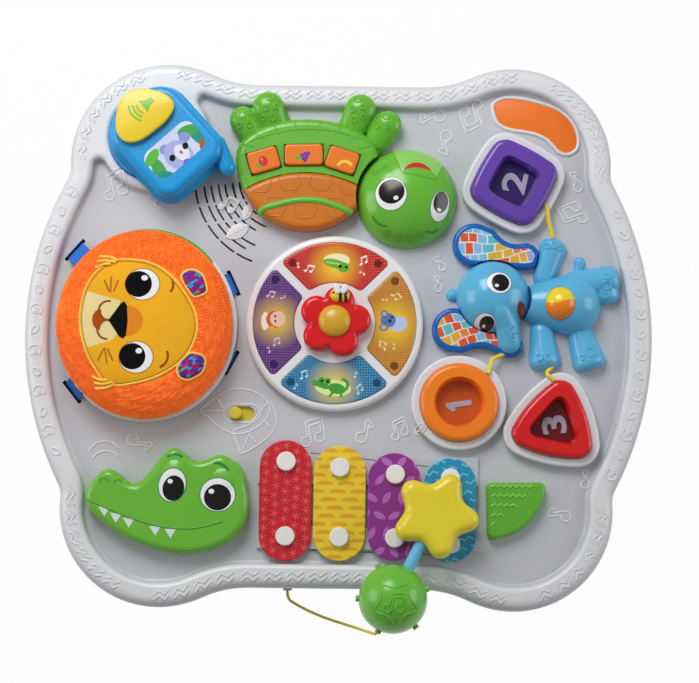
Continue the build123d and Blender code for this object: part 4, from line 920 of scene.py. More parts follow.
@dataclass
class Label:
    """The bare bean-shaped badge on the back right lobe: a coloured field in a white border."""

    bean: tuple[Point2, ...] = (
        (124.6, 175.5), (130.3, 170.2), (138.1, 167.5), (147.8, 166.1), (157.6, 164), (166, 159.8),
        (171.1, 154.7), (175.7, 149.7), (181.6, 147.8), (187.4, 149.7), (191.2, 154.6), (191.2, 164.5),
        (186, 175.3), (176.2, 184.4), (162.5, 189.8), (148.8, 193.1), (137, 194.4), (129.2, 193.4),
        (123.8, 190.1), (121.9, 186.2),
    )
    border: float = 1.5

    def build(self) -> None:
        """Makes the border and the field."""
        edge = rounded(self.bean, 6)
        orange = Plastic("badge_orange", (240, 118, 26), 0.34)
        field = Plate(edge, DECK - 0.5, DECK + 0.7, 0.2).build()
        settle(field, "badge_field", orange.make(), "table")
        ring = Beading(self.border, 0.3, 1.5, 3).over([(edge, True)], Ground("top_shell"))
        settle(ring, "badge_border", SHELL.make(), "table")


@dataclass
class SliderEmblem:
    """The raised leaves the volume slider runs in."""

    leaves: tuple[tuple[Point2, ...], ...] = (
        (
            (-108.8, -63.2), (-98, -53), (-86, -46.8), (-73, -46), (-60, -51.5), (-54.2, -60), (-56.5, -69),
            (-66, -77.5), (-79, -81.6), (-92, -77), (-102, -69),
        ),
        (
            (-82, -79.5), (-77.5, -92), (-75.5, -97.2), (-64, -91), (-53, -82), (-48.4, -71.5), (-50, -63),
            (-54, -56), (-60, -62), (-70, -74),
        ),
    )
    ridges: tuple[tuple[Point2, ...], ...] = (
        ((-108, -63.4), (-89.5, -63.4)), ((-95.5, -54), (-90.8, -61.5)), ((-75.3, -96), (-68.5, -78.5)),
        ((-69.5, -82), (-64.5, -88)), ((-58.5, -70), (-53.8, -75.5)), ((-61.5, -57.5), (-59.5, -62.5)),
    )
    slot_at: Point2 = (-75.8, -65)
    slot_half: float = 7
    slot_round: float = 7.2

    def build(self) -> None:
        """Lays the two leaves, their ridges and the slot's edge."""
        slot: list[Point2] = []
        for side in (1, -1):
            half = (side * self.slot_half, 0, self.slot_round, self.slot_round)
            slot += placed(arc_points(*half, -90 * side, 180 - 90 * side), *self.slot_at, 0)
        runs = [(rounded(leaf, 6), True) for leaf in self.leaves] + [(slot, True)]
        runs += [(ridge, False) for ridge in self.ridges]
        lines = Beading(0.7, -0.1, 1.5).over(runs, Ground("top_shell"))
        settle(lines, "slider_emblem", SHELL.make(), "table")


@dataclass
class Lion:
    """The soft lion drum: a stuffed furry pad, an appliqued face, two ears and four straps."""

    x: float = -153
    y: float = 5
    half: Point2 = (70.5, 76.5)
    bottom: float = 342.8
    shrink: Point2 = (0.965, 0.965)
    sunk: float = -1.8
    face_at: Point2 = (-156, 1.6)
    face_half: Point2 = (46, 50.5)
    face_edge: tuple[Point2, ...] = (
        (-192, 40.2), (-198.3, 28.9), (-201.4, 15.3), (-202.2, 1.7), (-199.7, -11.9), (-194.7, -25.9),
        (-187.1, -38.2), (-179.8, -47.3), (-170.5, -48.9), (-155.5, -46.5), (-140, -41.5), (-126.5, -33.7),
        (-116.9, -24.6), (-110.8, -12.9), (-108.5, -1.2), (-110.4, 10.4), (-116, 21.5), (-125.5, 34.7),
        (-137.3, 44.9), (-149, 50.3), (-160.7, 52.2), (-172.4, 52.2), (-181.5, 49.7),
    )
    voxel: float = 4.5
    swell: float = 3.5
    seam_height: float = 12
    cloth_frames: int = 20
    hairs: int = 9500
    hair_long: float = 5.4
    hair_wide: float = 0.62
    side_rings: int = 12
    side_hairs: int = 300
    ears: tuple[tuple[Point2, ...], ...] = (
        (
            (-122.2, 35.1), (-117.8, 28.2), (-112.8, 21.8), (-107, 23), (-102.6, 26.3), (-103.2, 32.1),
            (-106.3, 39.9), (-112.1, 43.8), (-118, 43.8), (-122.8, 39.9),
        ),
        (
            (-123.2, -30.2), (-124.7, -35), (-122.7, -40.9), (-116.8, -43.2), (-111, -40.9), (-105.2, -37),
            (-102.4, -30.2), (-103.5, -24.3), (-108.4, -21.8), (-114.2, -21.4), (-119, -25.3),
        ),
    )
    straps: tuple[tuple[float, float, float], ...] = (
        (-212.3, 64.5, 49), (-211, -49.8, -51), (-84.6, 39.4, -65), (-84.9, -25, 62),
    )
    strap_wide: float = 17
    strap_thick: float = 1.1
    strap_long: float = 22

    def pad(self) -> bpy.types.Object:
        """Swells a copy of the pad's solid as stuffed cloth."""
        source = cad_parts["lion_pad"]
        piece = source.copy()
        piece.data = source.data.copy()
        for key in list(piece.keys()):
            del piece[key]
        bpy.context.scene.collection.objects.link(piece)
        weld(piece)
        middle = at(self.x, self.y, 0)
        moved_to = middle + Vector((0, self.sunk * MM, 0))
        squeeze = Matrix.Diagonal((*self.shrink, 1, 1))
        piece.data.transform(Matrix.Translation(moved_to) @ squeeze @ Matrix.Translation(-middle))
        refine(piece, "REMESH", mode="VOXEL", voxel_size=self.voxel * MM)
        self.inflate(piece)
        refine(piece, "SUBSURF", levels=1, render_levels=1)
        bpy.ops.object.shade_smooth()
        return piece

    def inflate(self, piece: bpy.types.Object) -> None:
        """Runs the cloth under pressure and keeps each point near where it began."""
        start = [v.co.copy() for v in piece.data.vertices]
        scene = bpy.context.scene
        cloth = piece.modifiers.new("cloth", "CLOTH")
        cloth.settings.use_pressure = True
        cloth.settings.uniform_pressure_force = 4
        cloth.settings.effector_weights.gravity = 0
        cloth.point_cache.frame_start, cloth.point_cache.frame_end = 1, self.cloth_frames
        for step in range(1, self.cloth_frames + 1):
            scene.frame_set(step)
        bpy.ops.object.modifier_apply(modifier="cloth")
        scene.frame_set(1)
        floor, limit = self.bottom * MM, self.swell * MM
        for vertex, begin in zip(piece.data.vertices, start):
            move = vertex.co - begin
            if move.length > limit:
                move *= limit / move.length
            vertex.co = begin + move * min(1, max(0, (begin.z - floor) / (self.seam_height * MM)))

    def flow(self, point: Vector, normal: Vector, seed: int) -> Vector:
        """The way the pile lies: outwards over the edge, with a little swirl."""
        out = (point - at(*self.face_at, point.z / MM)).normalized()
        lean = 0.35 * math.sin(point.x * 95) + 0.3 * math.cos(point.y * 83 + 1)
        lean += 0.5 * math.sin(seed * 12.9898)
        way = out + Vector((-out.y, out.x, 0)) * lean + Vector((0, 0, -0.15 * abs(out.z)))
        way -= normal * way.dot(normal)
        return way.normalized()

    def roots(self, ground: Ground) -> list[tuple[Vector, Vector]]:
        """Where the hairs stand, by an even spiral from above and rings from the side."""
        found: list[tuple[Vector, Vector] | None] = []
        golden = math.radians(137.507764)
        apart = math.radians(360 / self.side_hairs)
        for i in range(self.hairs):
            share = 0.985 * math.sqrt((i + 0.5) / self.hairs)
            x = self.x + self.half[0] * share * math.cos(i * golden)
            y = self.y + self.half[1] * share * math.sin(i * golden)
            gap = math.hypot(
                (x - self.face_at[0]) / self.face_half[0], (y - self.face_at[1]) / self.face_half[1]
            )
            found.append(ground.drop(x, y) if gap > 0.95 else None)
        for ring in range(self.side_rings):
            for k in range(self.side_hairs):
                turn = (k + 0.37 * (ring % 3)) * apart
                way = Vector((-math.cos(turn), -math.sin(turn), 0))
                start = at(self.x, self.y, self.bottom + 3 + ring * 1.7) - way * 0.12
                found.append(ground.cast(start, way, 0.12))
        return [hit for hit in found if hit]

    def fur(self, ground: Ground) -> bpy.types.Object:
        """Thousands of thin curved tufts, each a closed spike with a bend."""
        points: list[Vector] = []
        faces: list[tuple[int, ...]] = []
        for seed, (root, normal) in enumerate(self.roots(ground)):
            way = self.flow(root, normal, seed)
            side = way.cross(normal).normalized()
            length = self.hair_long * (0.8 + 0.35 * math.sin(seed * 7.31) ** 2) * MM
            wide = self.hair_wide * MM
            base = root - normal * 0.0006
            middle = base + way * length * 0.45 + normal * length * 0.24
            a, b, c, d, e, f, g = range(len(points), len(points) + 7)
            points += [base + side * wide, base - side * wide, base + normal * wide * 1.4]
            points += [middle + side * wide * 0.8, middle - side * wide * 0.8, middle + normal * wide * 1.1]
            points.append(base + way * length + normal * length * 0.2)
            faces += [(a, c, b), (a, b, e, d), (b, c, f, e), (c, a, d, f), (d, e, g), (e, f, g), (f, d, g)]
        return new_mesh(points, faces)

    def draped_patch(
        self, outline: Sequence[Point2], centre: Point2, ground: Ground, thick: float, crown: float
    ) -> bpy.types.Object:
        """A felt patch that follows the pad, a little full in the middle."""
        rings, count = 14, len(outline)
        points: list[Vector] = []
        for share in (r / rings for r in range(rings + 1)):
            rise = thick * min(1, math.sqrt(max(0, 1 - share**6))) + crown * (1 - share**2)
            for x, y in drawn_in(outline, centre, share):
                points.append(ground.drop(x, y)[0] + Vector((0, 0, rise * MM)))
        faces = [
            (
                r * count + i, (r + 1) * count + i,
                (r + 1) * count + (i + 1) % count, r * count + (i + 1) % count,
            )
            for r in range(rings) for i in range(count)
        ]
        piece = new_mesh(points, faces)
        mend(piece)
        if sum(p.normal.z for p in piece.data.polygons) < 0:
            piece.data.flip_normals()
        refine(piece, "SOLIDIFY", thickness=1.4 * MM, offset=-1)
        bpy.ops.object.shade_smooth()
        return piece

    def locks(self) -> list[Run]:
        """The pointed strands at both cheeks, the lower ones mirrored from the upper."""
        upper = (
            ((-172.5, 50.1), (-179, 53.1), (-187.5, 53.4)), ((-174, 48.6), (-182, 50.2), (-188.5, 49.2)),
            ((-178, 47.1), (-184, 47), (-190, 44.2)),
        )
        lower = tuple(tuple((x, 3.3 - y) for x, y in strand) for strand in upper)
        return [(strand, False) for strand in upper + lower]

    def felt(self, name: str, colour: Colour, paint: Paint) -> bpy.types.Material:
        """Short-napped fabric with a slow unevenness."""

        def nap(graph: Graph) -> Term:
            """Height of the nap."""
            return graph.noise(0.6, 3, 0.2) * 0.16 + graph.noise(9, 2, 0.4) * 0.35

        return Plastic(name, colour, 0.92, 0.12, 0, specular=0.12).make(paint, nap)

    def face_marks(self) -> Paint:
        """Muzzle, mouth, nose, eyes, brows and whiskers."""
        brown: Colour = (150, 76, 28)
        cream: Colour = (232, 214, 150)
        marks: tuple[Mark, ...] = (
            Disc(-164, 2.6, 12.6, 12, (226, 136, 36)),
            Patch(((-206, -22.4), (-173.5, -11.9), (-169.6, 18.2), (-206, 28.6)), cream),
            Disc(-184.8, 3.2, 6.2, 8.2, (170, 76, 26)),
            Disc(-177.2, 10.2, 6.9, 6.9, cream), Disc(-177.8, -4.4, 6.9, 6.9, cream),
            Arc(-178.7, 10.4, 7.4, 75, 278, 1.7, brown), Arc(-179.3, -4.5, 7.4, 78, 275, 1.7, brown),
            Patch(
                (
                    (-178.4, 2.8), (-169.5, -10.2), (-166.5, -11.6), (-164.3, -9.2), (-163.3, 2.1),
                    (-164.1, 14.3), (-166.3, 17.8), (-169, 16.2),
                ),
                BLACK,
            ),
        )
        tan: Colour = (176, 108, 34)
        marks += eye(-152.6, 31.4, (12.9, 12.1), 0, (-3.3, 0.1), (10.5, 10.3), (1.4, 5), 2.5, tan)
        marks += eye(-156.2, -25.7, (12.9, 12), 0, (-2.9, 0.6), (10.2, 10.2), (2.1, 4.9), 2.5, tan)
        marks += (Arc(-138, 31.4, 9.1, -38, 48, 1.9, brown), Arc(-141, -24.4, 9.4, -70, 24, 1.9, brown))
        for x0, y0, x1, y1 in (
            (-182.2, 33.8, -178.8, 26), (-177.1, 36.7, -177.4, 25), (-171.7, 33.8, -174.8, 25.9),
            (-185.5, -28.5, -181.5, -19.7), (-178.7, -30.4, -180.4, -19.3), (-174.2, -28.5, -178.3, -19.7),
        ):
            marks += (Line(x0, y0, x1, y1, 1.5, (180, 110, 34)),)
        return Print(marks)

    def ear_print(self, graph: Graph, colour: Term) -> Term:
        """Cells of bright colour in a small brick pattern."""
        u, v, _ = graph.frame_at(self.x, self.y, 32)
        palette = (
            (0, (120, 40, 130)), (0.25, (200, 35, 80)), (0.45, (50, 60, 170)), (0.65, (60, 160, 210)),
            (0.85, (170, 40, 120)), (0.95, (110, 180, 70)),
        )
        return graph.cells(u, v, (3.4, 2.1), palette, 0.16, (120, 40, 130))

    def strap(self, x: float, y: float, turn: float) -> bpy.types.Object:
        """One webbing strap from its slot up into the pad's seam."""
        out = Vector((x - self.x, y - self.y))
        way = Vector((-out.x, -out.y, 0)).normalized()
        across = Vector((math.cos(math.radians(turn)), math.sin(math.radians(turn)), 0))
        points: list[Vector] = []
        rows, columns = 13, 9
        for t in (k / (rows - 1) for k in range(rows)):
            rise = 17 * math.sin(t * math.pi / 2) ** 0.6 + 0.6 * math.sin(t * 9)
            middle = at(x, y, DECK - 4) + way * self.strap_long * t * MM + Vector((0, 0, rise * MM))
            shares = (c / (columns - 1) - 0.5 for c in range(columns))
            points += [middle + across * share * self.strap_wide * MM for share in shares]
        faces = [
            (r * columns + c, r * columns + c + 1, (r + 1) * columns + c + 1, (r + 1) * columns + c)
            for r in range(rows - 1) for c in range(columns - 1)
        ]
        piece = new_mesh(points, faces)
        refine(piece, "SOLIDIFY", thickness=self.strap_thick * MM, offset=0)
        bpy.ops.object.shade_smooth_by_angle(angle=math.radians(40))
        return piece

    def build(self) -> None:
        """Makes every soft part of the lion."""

        def pile(graph: Graph, colour: Term) -> Term:
            """Lighter and darker locks."""
            return graph.mix(graph.noise(5, 3, 0.6) ** 1.3, (238, 100, 32), (255, 152, 66))

        def weave(graph: Graph) -> Term:
            """Ribbed webbing."""
            u, v, _ = graph.frame_at(self.x, self.y, 45)
            return ((u * 3.2).sin() * (v * 3.2).sin()) * 0.12

        pad = self.pad()
        ground = Ground.of(pad)
        # Painted light: the fur glows, so its self-shaded pile reads brighter than the lamps light it.
        base = Plastic("fur_ground", (240, 100, 22), 0.92, 0.1, 0, specular=0.1, glow=0.22).make(pile)
        settle(pad, "lion_cushion", base, "drum")
        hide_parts("lion_pad")
        # Painted light: the pile glows too.
        tuft = Plastic("fur_pile", (255, 124, 40), 0.8, 0.1, 0, specular=0.2, glow=0.22).make(pile)
        settle(self.fur(ground), "lion_fur", tuft, "drum")
        edge = rounded(self.face_edge, 4)
        face = self.draped_patch(edge, self.face_at, ground, 1.6, 1.5)
        gold = self.felt("felt_gold", (240, 174, 36), self.face_marks())
        settle(face, "lion_mask", gold, "drum")
        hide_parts("lion_face")
        top = Ground.of(face)
        stitch = Plastic("stitch_yellow", (250, 206, 74), 0.7, 0.1, 0.05, 0.8).make()
        ochre = Plastic("stitch_ochre", (196, 134, 26), 0.7, 0.1, 0.05, 0.8).make()
        for name, share, radius, thread in (("stitch", 0.975, 1, stitch), ("seam", 0.94, 0.4, ochre)):
            line = Beading(radius, 0.1, 2).over([(drawn_in(edge, self.face_at, share), True)], top)
            settle(line, f"mask_{name}", thread, "drum")
        both = Ground()
        both.trees = ground.trees + top.trees
        settle(Beading(1.1, 1.3, 1.4).over(self.locks(), both), "cheek_stitch", stitch, "drum")
        ear_finish = self.felt("ear_print", (120, 60, 140), self.ear_print)
        for name, corners in zip(("upper", "lower"), self.ears):
            outline = rounded(corners, 4)
            centre = tuple(sum(p[i] for p in corners) / len(corners) for i in (0, 1))
            ear = self.draped_patch(outline, centre, both, 3, 1.6)
            settle(ear, f"lion_ear_{name}", ear_finish, "drum")
            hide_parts("lion_ears")
            line = Beading(1, 0.3, 1.6).over([(drawn_in(outline, centre, 0.95), True)], Ground.of(ear))
            settle(line, f"ear_stitch_{name}", stitch, "drum")
        green = Plastic("skirt_green", (60, 168, 66), 0.8, 0.08, 0, specular=0.2)
        for name, finish, slot, radius, height, curve, closed in (
            ("rim", SHELL, "white_plastic", 2.7, 5.2, (-152.5, 3.4, 69.3, 74.2, 0, 355, 71), True),
            ("piping", green, "leaf_green", 2.2, 9.5, (-152, 5.4, 66.5, 73, 42, 140, 24), False),
        ):
            ring = [at(x, y, DECK + height) for x, y in arc_points(*curve)]
            line = Beading(radius, sides=4).lay([(ring, closed)])
            settle(line, f"drum_{name}", finish.make(), "drum")
        web = Plastic("webbing_blue", (48, 112, 200), 0.8, 0.08, 0, specular=0.2).make(None, weave)
        for k, (x, y, turn) in enumerate(self.straps, 1):
            strap = self.strap(x, y, turn)
            settle(strap, f"strap_{k}", web, None)
            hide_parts("lion_straps")
            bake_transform(strap)


def dial_lens(glow_at: Point2, marks: tuple[Mark, ...]) -> Paint:
    """The print behind a dial window: a glow, a dot screen, notes and a picture."""

    def paint(graph: Graph, base: Term) -> Term:
        """The lens colour with its print."""
        u, v, _ = graph.frame_at(*glow_at)
        reach = (u * u + v * v) ** 0.5
        glow = graph.math("SUBTRACT", 1, reach / 24, clamp=True)
        lit = graph.mix(glow ** 1.1, base, (255, 218, 60))
        dots = ((u % 2.1 - 1.05) ** 2 + (v % 2.1 - 1.05) ** 2) ** 0.5 - 0.42
        edge = graph.math("SUBTRACT", reach / 16, 0.7, clamp=True) * 0.35
        screened = graph.mix(dots.inside(0.3) * edge, lit, (255, 235, 190))
        return Print(marks, 0.25)(graph, screened)

    return paint


LIZARD: Colour = (70, 160, 60)
MOUSE: Colour = (90, 125, 190)
MOUSE_EAR: Colour = (235, 175, 120)

# By lens: colour, middle of the glow, posts (bearing, colour), notes (place, turn, size, pair), picture.
# Places are millimetres from the dial's middle.
LENSES: dict[str, tuple[Colour, Point2, tuple[float, Colour], Colour, tuple, tuple[Mark, ...]]] = {
    "lens_top": (
        (196, 36, 36), (0, 45), (90, (120, 25, 22)), (250, 240, 235),
        (
            (-30, 46, 30, 4.6, False), (-21, 43, -20, 6.2, True),
            (22, 50, 10, 6.2, True), (21, 40, 80, 5, False),
        ),
        (
            Disc(1, 50, 10.5, 5.6, (238, 240, 190), 0), Disc(0.5, 47, 10.5, 3.6, (110, 180, 60), -14),
            Disc(6.6, 44.4, 4.6, 3.9, (100, 175, 55), 10), Disc(3.9, 45.2, 1.3, 1.3, BLACK),
            Disc(8.6, 44.7, 1.1, 1.1, BLACK), Line(-7, 48.5, 3, 47, 1, (200, 225, 110)),
        ),
    ),
    "lens_right": (
        (196, 128, 40), (46, 0), (0, (120, 72, 22)), (250, 225, 170),
        (
            (40, 19, -70, 4.8, False), (48.5, 22, -60, 6, True),
            (38.5, -18, 70, 6, True), (47, -18, 20, 5, False),
        ),
        (
            Disc(51, -0.5, 7, 6, (190, 205, 232), 25), Disc(42.5, 2.5, 6, 5.6, MOUSE),
            Disc(39.5, 7.6, 3, 2.8, MOUSE), Disc(39.5, 7.6, 1.7, 1.6, MOUSE_EAR),
            Disc(39, -3.2, 3.6, 3, MOUSE), Disc(39, -3.2, 2.1, 1.8, MOUSE_EAR),
            Disc(43.8, 2, 1.3, 1.3, BLACK), Disc(45.5, 5, 1, 1, BLACK),
        ),
    ),
    "lens_bottom": (
        (20, 122, 170), (0, -50), (-90, (22, 74, 104)), (190, 225, 240),
        (
            (-24, -42, 10, 6, True), (-30, -51, -10, 5, False),
            (17, -41, 0, 5, False), (20, -53, 30, 6, True),
        ),
        (
            Disc(-0.5, -52, 14.2, 6.4, (225, 240, 160), -5), Disc(2.5, -52.5, 7, 4.2, LIZARD, -12),
            Line(-15, -48, -6, -51, 4.4, LIZARD), Disc(-9.6, -46.2, 2.6, 2.6, LIZARD),
            Disc(-4.8, -46.8, 2.6, 2.6, LIZARD), Arc(6.4, -49.6, 4.6, -60, 95, 2.4, LIZARD),
            Disc(-9.4, -46.6, 1.1, 1.1, BLACK), Disc(-4.8, -47, 1.1, 1.1, BLACK),
            Line(-1, -56, -3, -58.4, 2, LIZARD), Line(6, -56, 6, -58.6, 2, LIZARD),
        ),
    ),
    "lens_left": (
        (92, 44, 128), (-46, 1), (180, (56, 28, 84)), (225, 205, 235),
        (
            (-51, 22, -20, 5.4, True), (-41, 20, -40, 4.6, False),
            (-46, -16, 10, 5.6, True), (-52, -22, 40, 5, False),
        ),
        (
            Disc(-55, 0.5, 3.2, 7.2, (248, 240, 225)), Disc(-47.5, 2, 6.8, 7, (226, 92, 60)),
            Disc(-45.2, 2.4, 6, 6.2, (246, 205, 180)), Disc(-47.2, 4.6, 0.9, 0.9, BLACK),
            Disc(-47, 0.6, 0.9, 0.9, BLACK), Disc(-49, -5.5, 1.6, 2.6, (240, 170, 60), 30),
        ),
    ),
}


def moved(mark: Mark, x: float, y: float) -> Mark:
    """A mark shifted on the table."""
    if isinstance(mark, Line):
        return replace(mark, x0=mark.x0 + x, y0=mark.y0 + y, x1=mark.x1 + x, y1=mark.y1 + y)
    return replace(mark, x=mark.x + x, y=mark.y + y)


def dress_lenses(x: float = -3.2, y: float = 7.2) -> None:
    """Prints the four lenses of the dial."""
    for node, (colour, glow_at, (bearing, dark), ink, notes, picture) in LENSES.items():
        marks: tuple[Mark, ...] = ()
        for spread in (-35.5, 35.5):
            way = math.radians(bearing + spread)
            marks += (Disc(x + 58.5 * math.cos(way), y + 58.5 * math.sin(way), 3.3, 3.3, dark),)
        for dx, dy, turn, size, pair in notes:
            marks += note_marks(x + dx, y + dy, turn, size, pair, ink)
        marks += tuple(moved(mark, x, y) for mark in picture)
        finish = Plastic(f"{node}_print", colour, 0.12, specular=0.6)
        dress(finish.make(dial_lens((x + glow_at[0], y + glow_at[1]), marks)), node)


def starbursts(graph: Graph, base: Term) -> Term:
    """Rows of six-armed sparks in a paler red."""
    u, v, _ = graph.frame_at(-40, -133.6, -1.5)
    column = graph.math("FLOOR", (u + 4.1) / 8.2)
    v = v + (column % 2) * 3.9 + (column * 1.7).sin() * 0.7
    row = graph.math("FLOOR", (v + 3.6) / 7.2)
    cu, cv = (u + 4.1) % 8.2 - 4.1, (v + 3.6) % 7.2 - 3.6
    cu = cu + (row * 2.3 + column).sin() * 0.7
    reach = (cu * cu + cv * cv) ** 0.5
    bearing = graph.math("ARCTAN2", cv, cu) + row * 0.9 + column * 0.5
    arm = abs((bearing * 3).sin()) * reach / 3 - 0.24
    mask = arm.high(reach - 3.3).inside(0.3)
    return graph.mix(mask * 0.85, base, (232, 104, 108))


def clouds(graph: Graph, base: Term) -> Term:
    """Flat-topped puffs in an ochre tone."""
    u, v, _ = graph.frame_at(2.6, -135.3)
    row = graph.math("FLOOR", v / 6.4)
    u = u + (row % 2) * 8.5 + (row % 3) * 1.7
    cu, cv = u % 17 - 8.5, v % 6.4 - 2.4
    scallop = abs((cu * 1.05).sin()) * 0.7
    body = ((cu / 6.6) ** 2 + ((cv + 0.3) / 2.6) ** 2) ** 0.5 - 1
    below = -cv - 1.4 + scallop
    return graph.mix((body * 2.6).high(below).inside(0.35) * 0.9, base, (222, 158, 38))


def leaves(graph: Graph, base: Term) -> Term:
    """Scattered pointed leaves in a paler violet."""
    u, v, _ = graph.frame_at(45.3, -137.4)
    row = graph.math("FLOOR", v / 14)
    u = u + (row % 2) * 5.5
    column = graph.math("FLOOR", u / 11.5)
    cu, cv = u % 11.5 - 5.75, v % 14 - 7
    turn = (row * 1.9 + column * 2.6).sin() * 1.1
    a = cu * turn.cos() + cv * turn.sin()
    b = cv * turn.cos() - cu * turn.sin()
    lens = (((abs(a) + 5.2) ** 2 + b * b) ** 0.5) - 7.6
    vein = abs(a) - 0.16
    shape = lens.inside(0.3) * (1 - vein.inside(0.25) * 0.6)
    return graph.mix(shape * 0.9, base, (186, 112, 196))


def ripples(graph: Graph, base: Term) -> Term:
    """Short wavy dashes in a paler blue."""
    u, v, _ = graph.frame_at(89.4, -139.5, 14)
    row = graph.math("FLOOR", v / 7)
    u = u + (row % 2) * 7.5
    cu, cv = u % 15 - 7.5, v % 7 - 3.5
    wave = abs(cv - (cu * 0.95).sin()) - 0.75
    return graph.mix(wave.high(abs(cu) - 5.4).inside(0.3) * 0.9, base, (110, 196, 222))


def patchwork(graph: Graph, colour: Term) -> Term:
    """A warped chequer of warm and cool cells between pale lines."""
    u, v, _ = graph.frame_at(120, 30, 12)
    u = u + (graph.noise(26, 0, 0.8) - 0.5) * 12
    v = v + (graph.noise(26, 0, 1.9) - 0.5) * 12
    palette = (
        (0, (222, 84, 40)), (0.24, (222, 170, 50)), (0.46, (96, 186, 190)), (0.62, (130, 185, 225)),
        (0.78, (160, 160, 215)), (0.9, (230, 130, 45)),
    )
    return graph.cells(u, v, (7.4, 7.4), palette, 0.42, (222, 232, 236))


TURTLE_HEAD = Print(
    tuple(
        Disc(x, y, r, r * 0.8, (92, 168, 44))
        for x, y, r in (
            (28.2, 127.6, 4), (35, 131, 3.4), (40.5, 127.2, 3.2), (37.8, 78, 4.4), (46.5, 75.4, 4.4),
            (55.5, 75.4, 4.4), (63.5, 78, 4),
        )
    )
    + eye(40.1, 108.6, (12.2, 13), 8, (0.4, 1.9), (10.3, 9.9), (3.9, -3.4), 2, (70, 140, 50))
    + eye(79.2, 100.3, (7.2, 12.2), -14, (0.6, 3.1), (5.8, 8.8), (-0.6, -3.1), 1.6, (70, 140, 50))
    + (
        Arc(37.5, 96, 12.1, 198, 270, 1.8, (60, 140, 50)),
        Arc(71.2, 88.3, 8.4, 248, 322, 1.7, (60, 140, 50)),
    )
)
TURTLE_JAW = Print(
    (Disc(61, 122.8, 12.4, 12.4, (196, 48, 42)), Disc(61, 107.2, 23.3, 23.3, (104, 182, 56)))
)
# Painted shade: dark green patches on the turtle's body under the three keys, showing as shade in the gaps
# round them.
KEY_GAP_SHADE = Print(
    tuple(
        Patch(tuple(placed([(-a, -b), (a, -b), (a, b), (-a, b)], x, y, turn)), (46, 74, 22))
        for x, y, turn, a, b in (
            (-61.7, 136.5, 17, 13.1, 9.8), (-29.7, 141.5, 1.5, 16.1, 9.3), (1, 137.5, -18, 13.1, 9.8),
        )
    )
)
FRUIT = Print(
    (
        Disc(-65.2, 131.6, 2.6, 1.5, (92, 168, 52), -40), Disc(-61.9, 135.4, 3.6, 4.2, (208, 34, 42), 20),
        Disc(-63, 136.8, 1, 1.2, (240, 130, 130), 20),
        Disc(-34, 138.6, 2.8, 1.6, (92, 168, 52), 30),
        *(
            Disc(x, y, 1.6, 1.6, (110, 52, 160))
            for x, y in (
                (-31, 140.6), (-28.6, 141.8), (-26, 142.2), (-30, 138.2), (-27.4, 139.4), (-28.4, 136.6),
            )
        ),
        Arc(3.1, 130.4, 5.8, 22, 158, 2.4, (242, 206, 58)),
    )
)
ELEPHANT_HEAD = Print(
    eye(126, 38.6, (9.4, 8.6), 0, (0.9, 0.1), (7, 7.1), (-2, -2.4), 1.6, (70, 140, 185))
    + eye(115.4, 7.6, (8, 6.8), 0, (1.6, -0.4), (5.8, 5.4), (-0.6, -2.2), 1.3, (70, 140, 185))
    + (Disc(144.4, 18.2, 3.8, 6.8, (124, 40, 30), 8), Disc(146, 17.2, 1.5, 3.6, (168, 84, 64), 8))
)
CROC_HEAD = Print(
    eye(-127.9, -123, (10.4, 12.8), -12, (1, -2.6), (8.5, 9.9), (-1.6, 2.8), 2.1, (30, 140, 70))
    + eye(-92.4, -130.2, (13.4, 12.7), 0, (0, -2), (10.6, 10.2), (-4.9, 2.6), 2.2, (30, 140, 70))
    + (
        Arc(-126.5, -107.5, 8.5, 45, 135, 2, (20, 130, 70)), Arc(-95, -118, 12.5, 30, 95, 2, (20, 130, 70)),
    )
    + tuple(
        Patch(((x - 4.4, y + 3 - 0.2 * s), (x + 0.4, y - 4.8), (x + 4.6, y + 1.7 + 0.2 * s)), (214, 226, 224))
        for x, y, s in (
            (-180.6, -143.2, 1), (-171.5, -148, 1), (-161.4, -151.8, 1), (-140.6, -157.6, 3),
            (-128.6, -159.4, 5),
        )
    )
)
SOUND: Colour = (120, 188, 58)
PHONE_KEY = Print(
    tuple(
        Patch(tuple(placed(part, -153.5, 176.5, -140)), SOUND)
        for part in (
            [(-5.6, -2.7), (-0.8, -2.7), (-0.8, 2.7), (-5.6, 2.7)],
            [(-1, -2.7), (4.2, -6.2), (4.2, 6.2), (-1, 2.7)],
        )
    )
    + tuple(Arc(-154.3, 175.9, r, -176, -104, 1.6, SOUND) for r in (7.5, 10.7, 13.9))
)
PHONE_VIEW = Print(
    (
        Disc(-128, 136.4, 24, 22, (206, 216, 242)), Disc(-112.5, 152, 10, 5, (40, 150, 130), -40),
        Disc(-121, 156.5, 9, 4.5, (70, 168, 84), 20), Disc(-143, 124, 11, 5, (70, 168, 84), -60),
        Disc(-135, 118.5, 9, 4.5, (40, 150, 130), -20), Disc(-149, 134, 8, 4, (96, 184, 66), 60),
        Disc(-108, 142, 3, 8, (170, 96, 60), 20),
        Disc(-139, 140.5, 4.6, 4.2, (150, 152, 212)), Disc(-124, 151, 4.6, 4.2, (150, 152, 212)),
        Disc(-128, 136.5, 12.6, 11, (172, 176, 228), -45),
        Disc(-125.6, 138.6, 7.2, 5.4, (228, 232, 248), -45),
        Disc(-133, 134, 2.4, 2.8, BLACK), Disc(-123, 144, 2.4, 2.8, BLACK),
        Disc(-126.2, 138.8, 1.8, 1.2, (196, 96, 70), -45), Disc(-119, 128.5, 6, 4.4, (122, 92, 192), -45),
    )
)


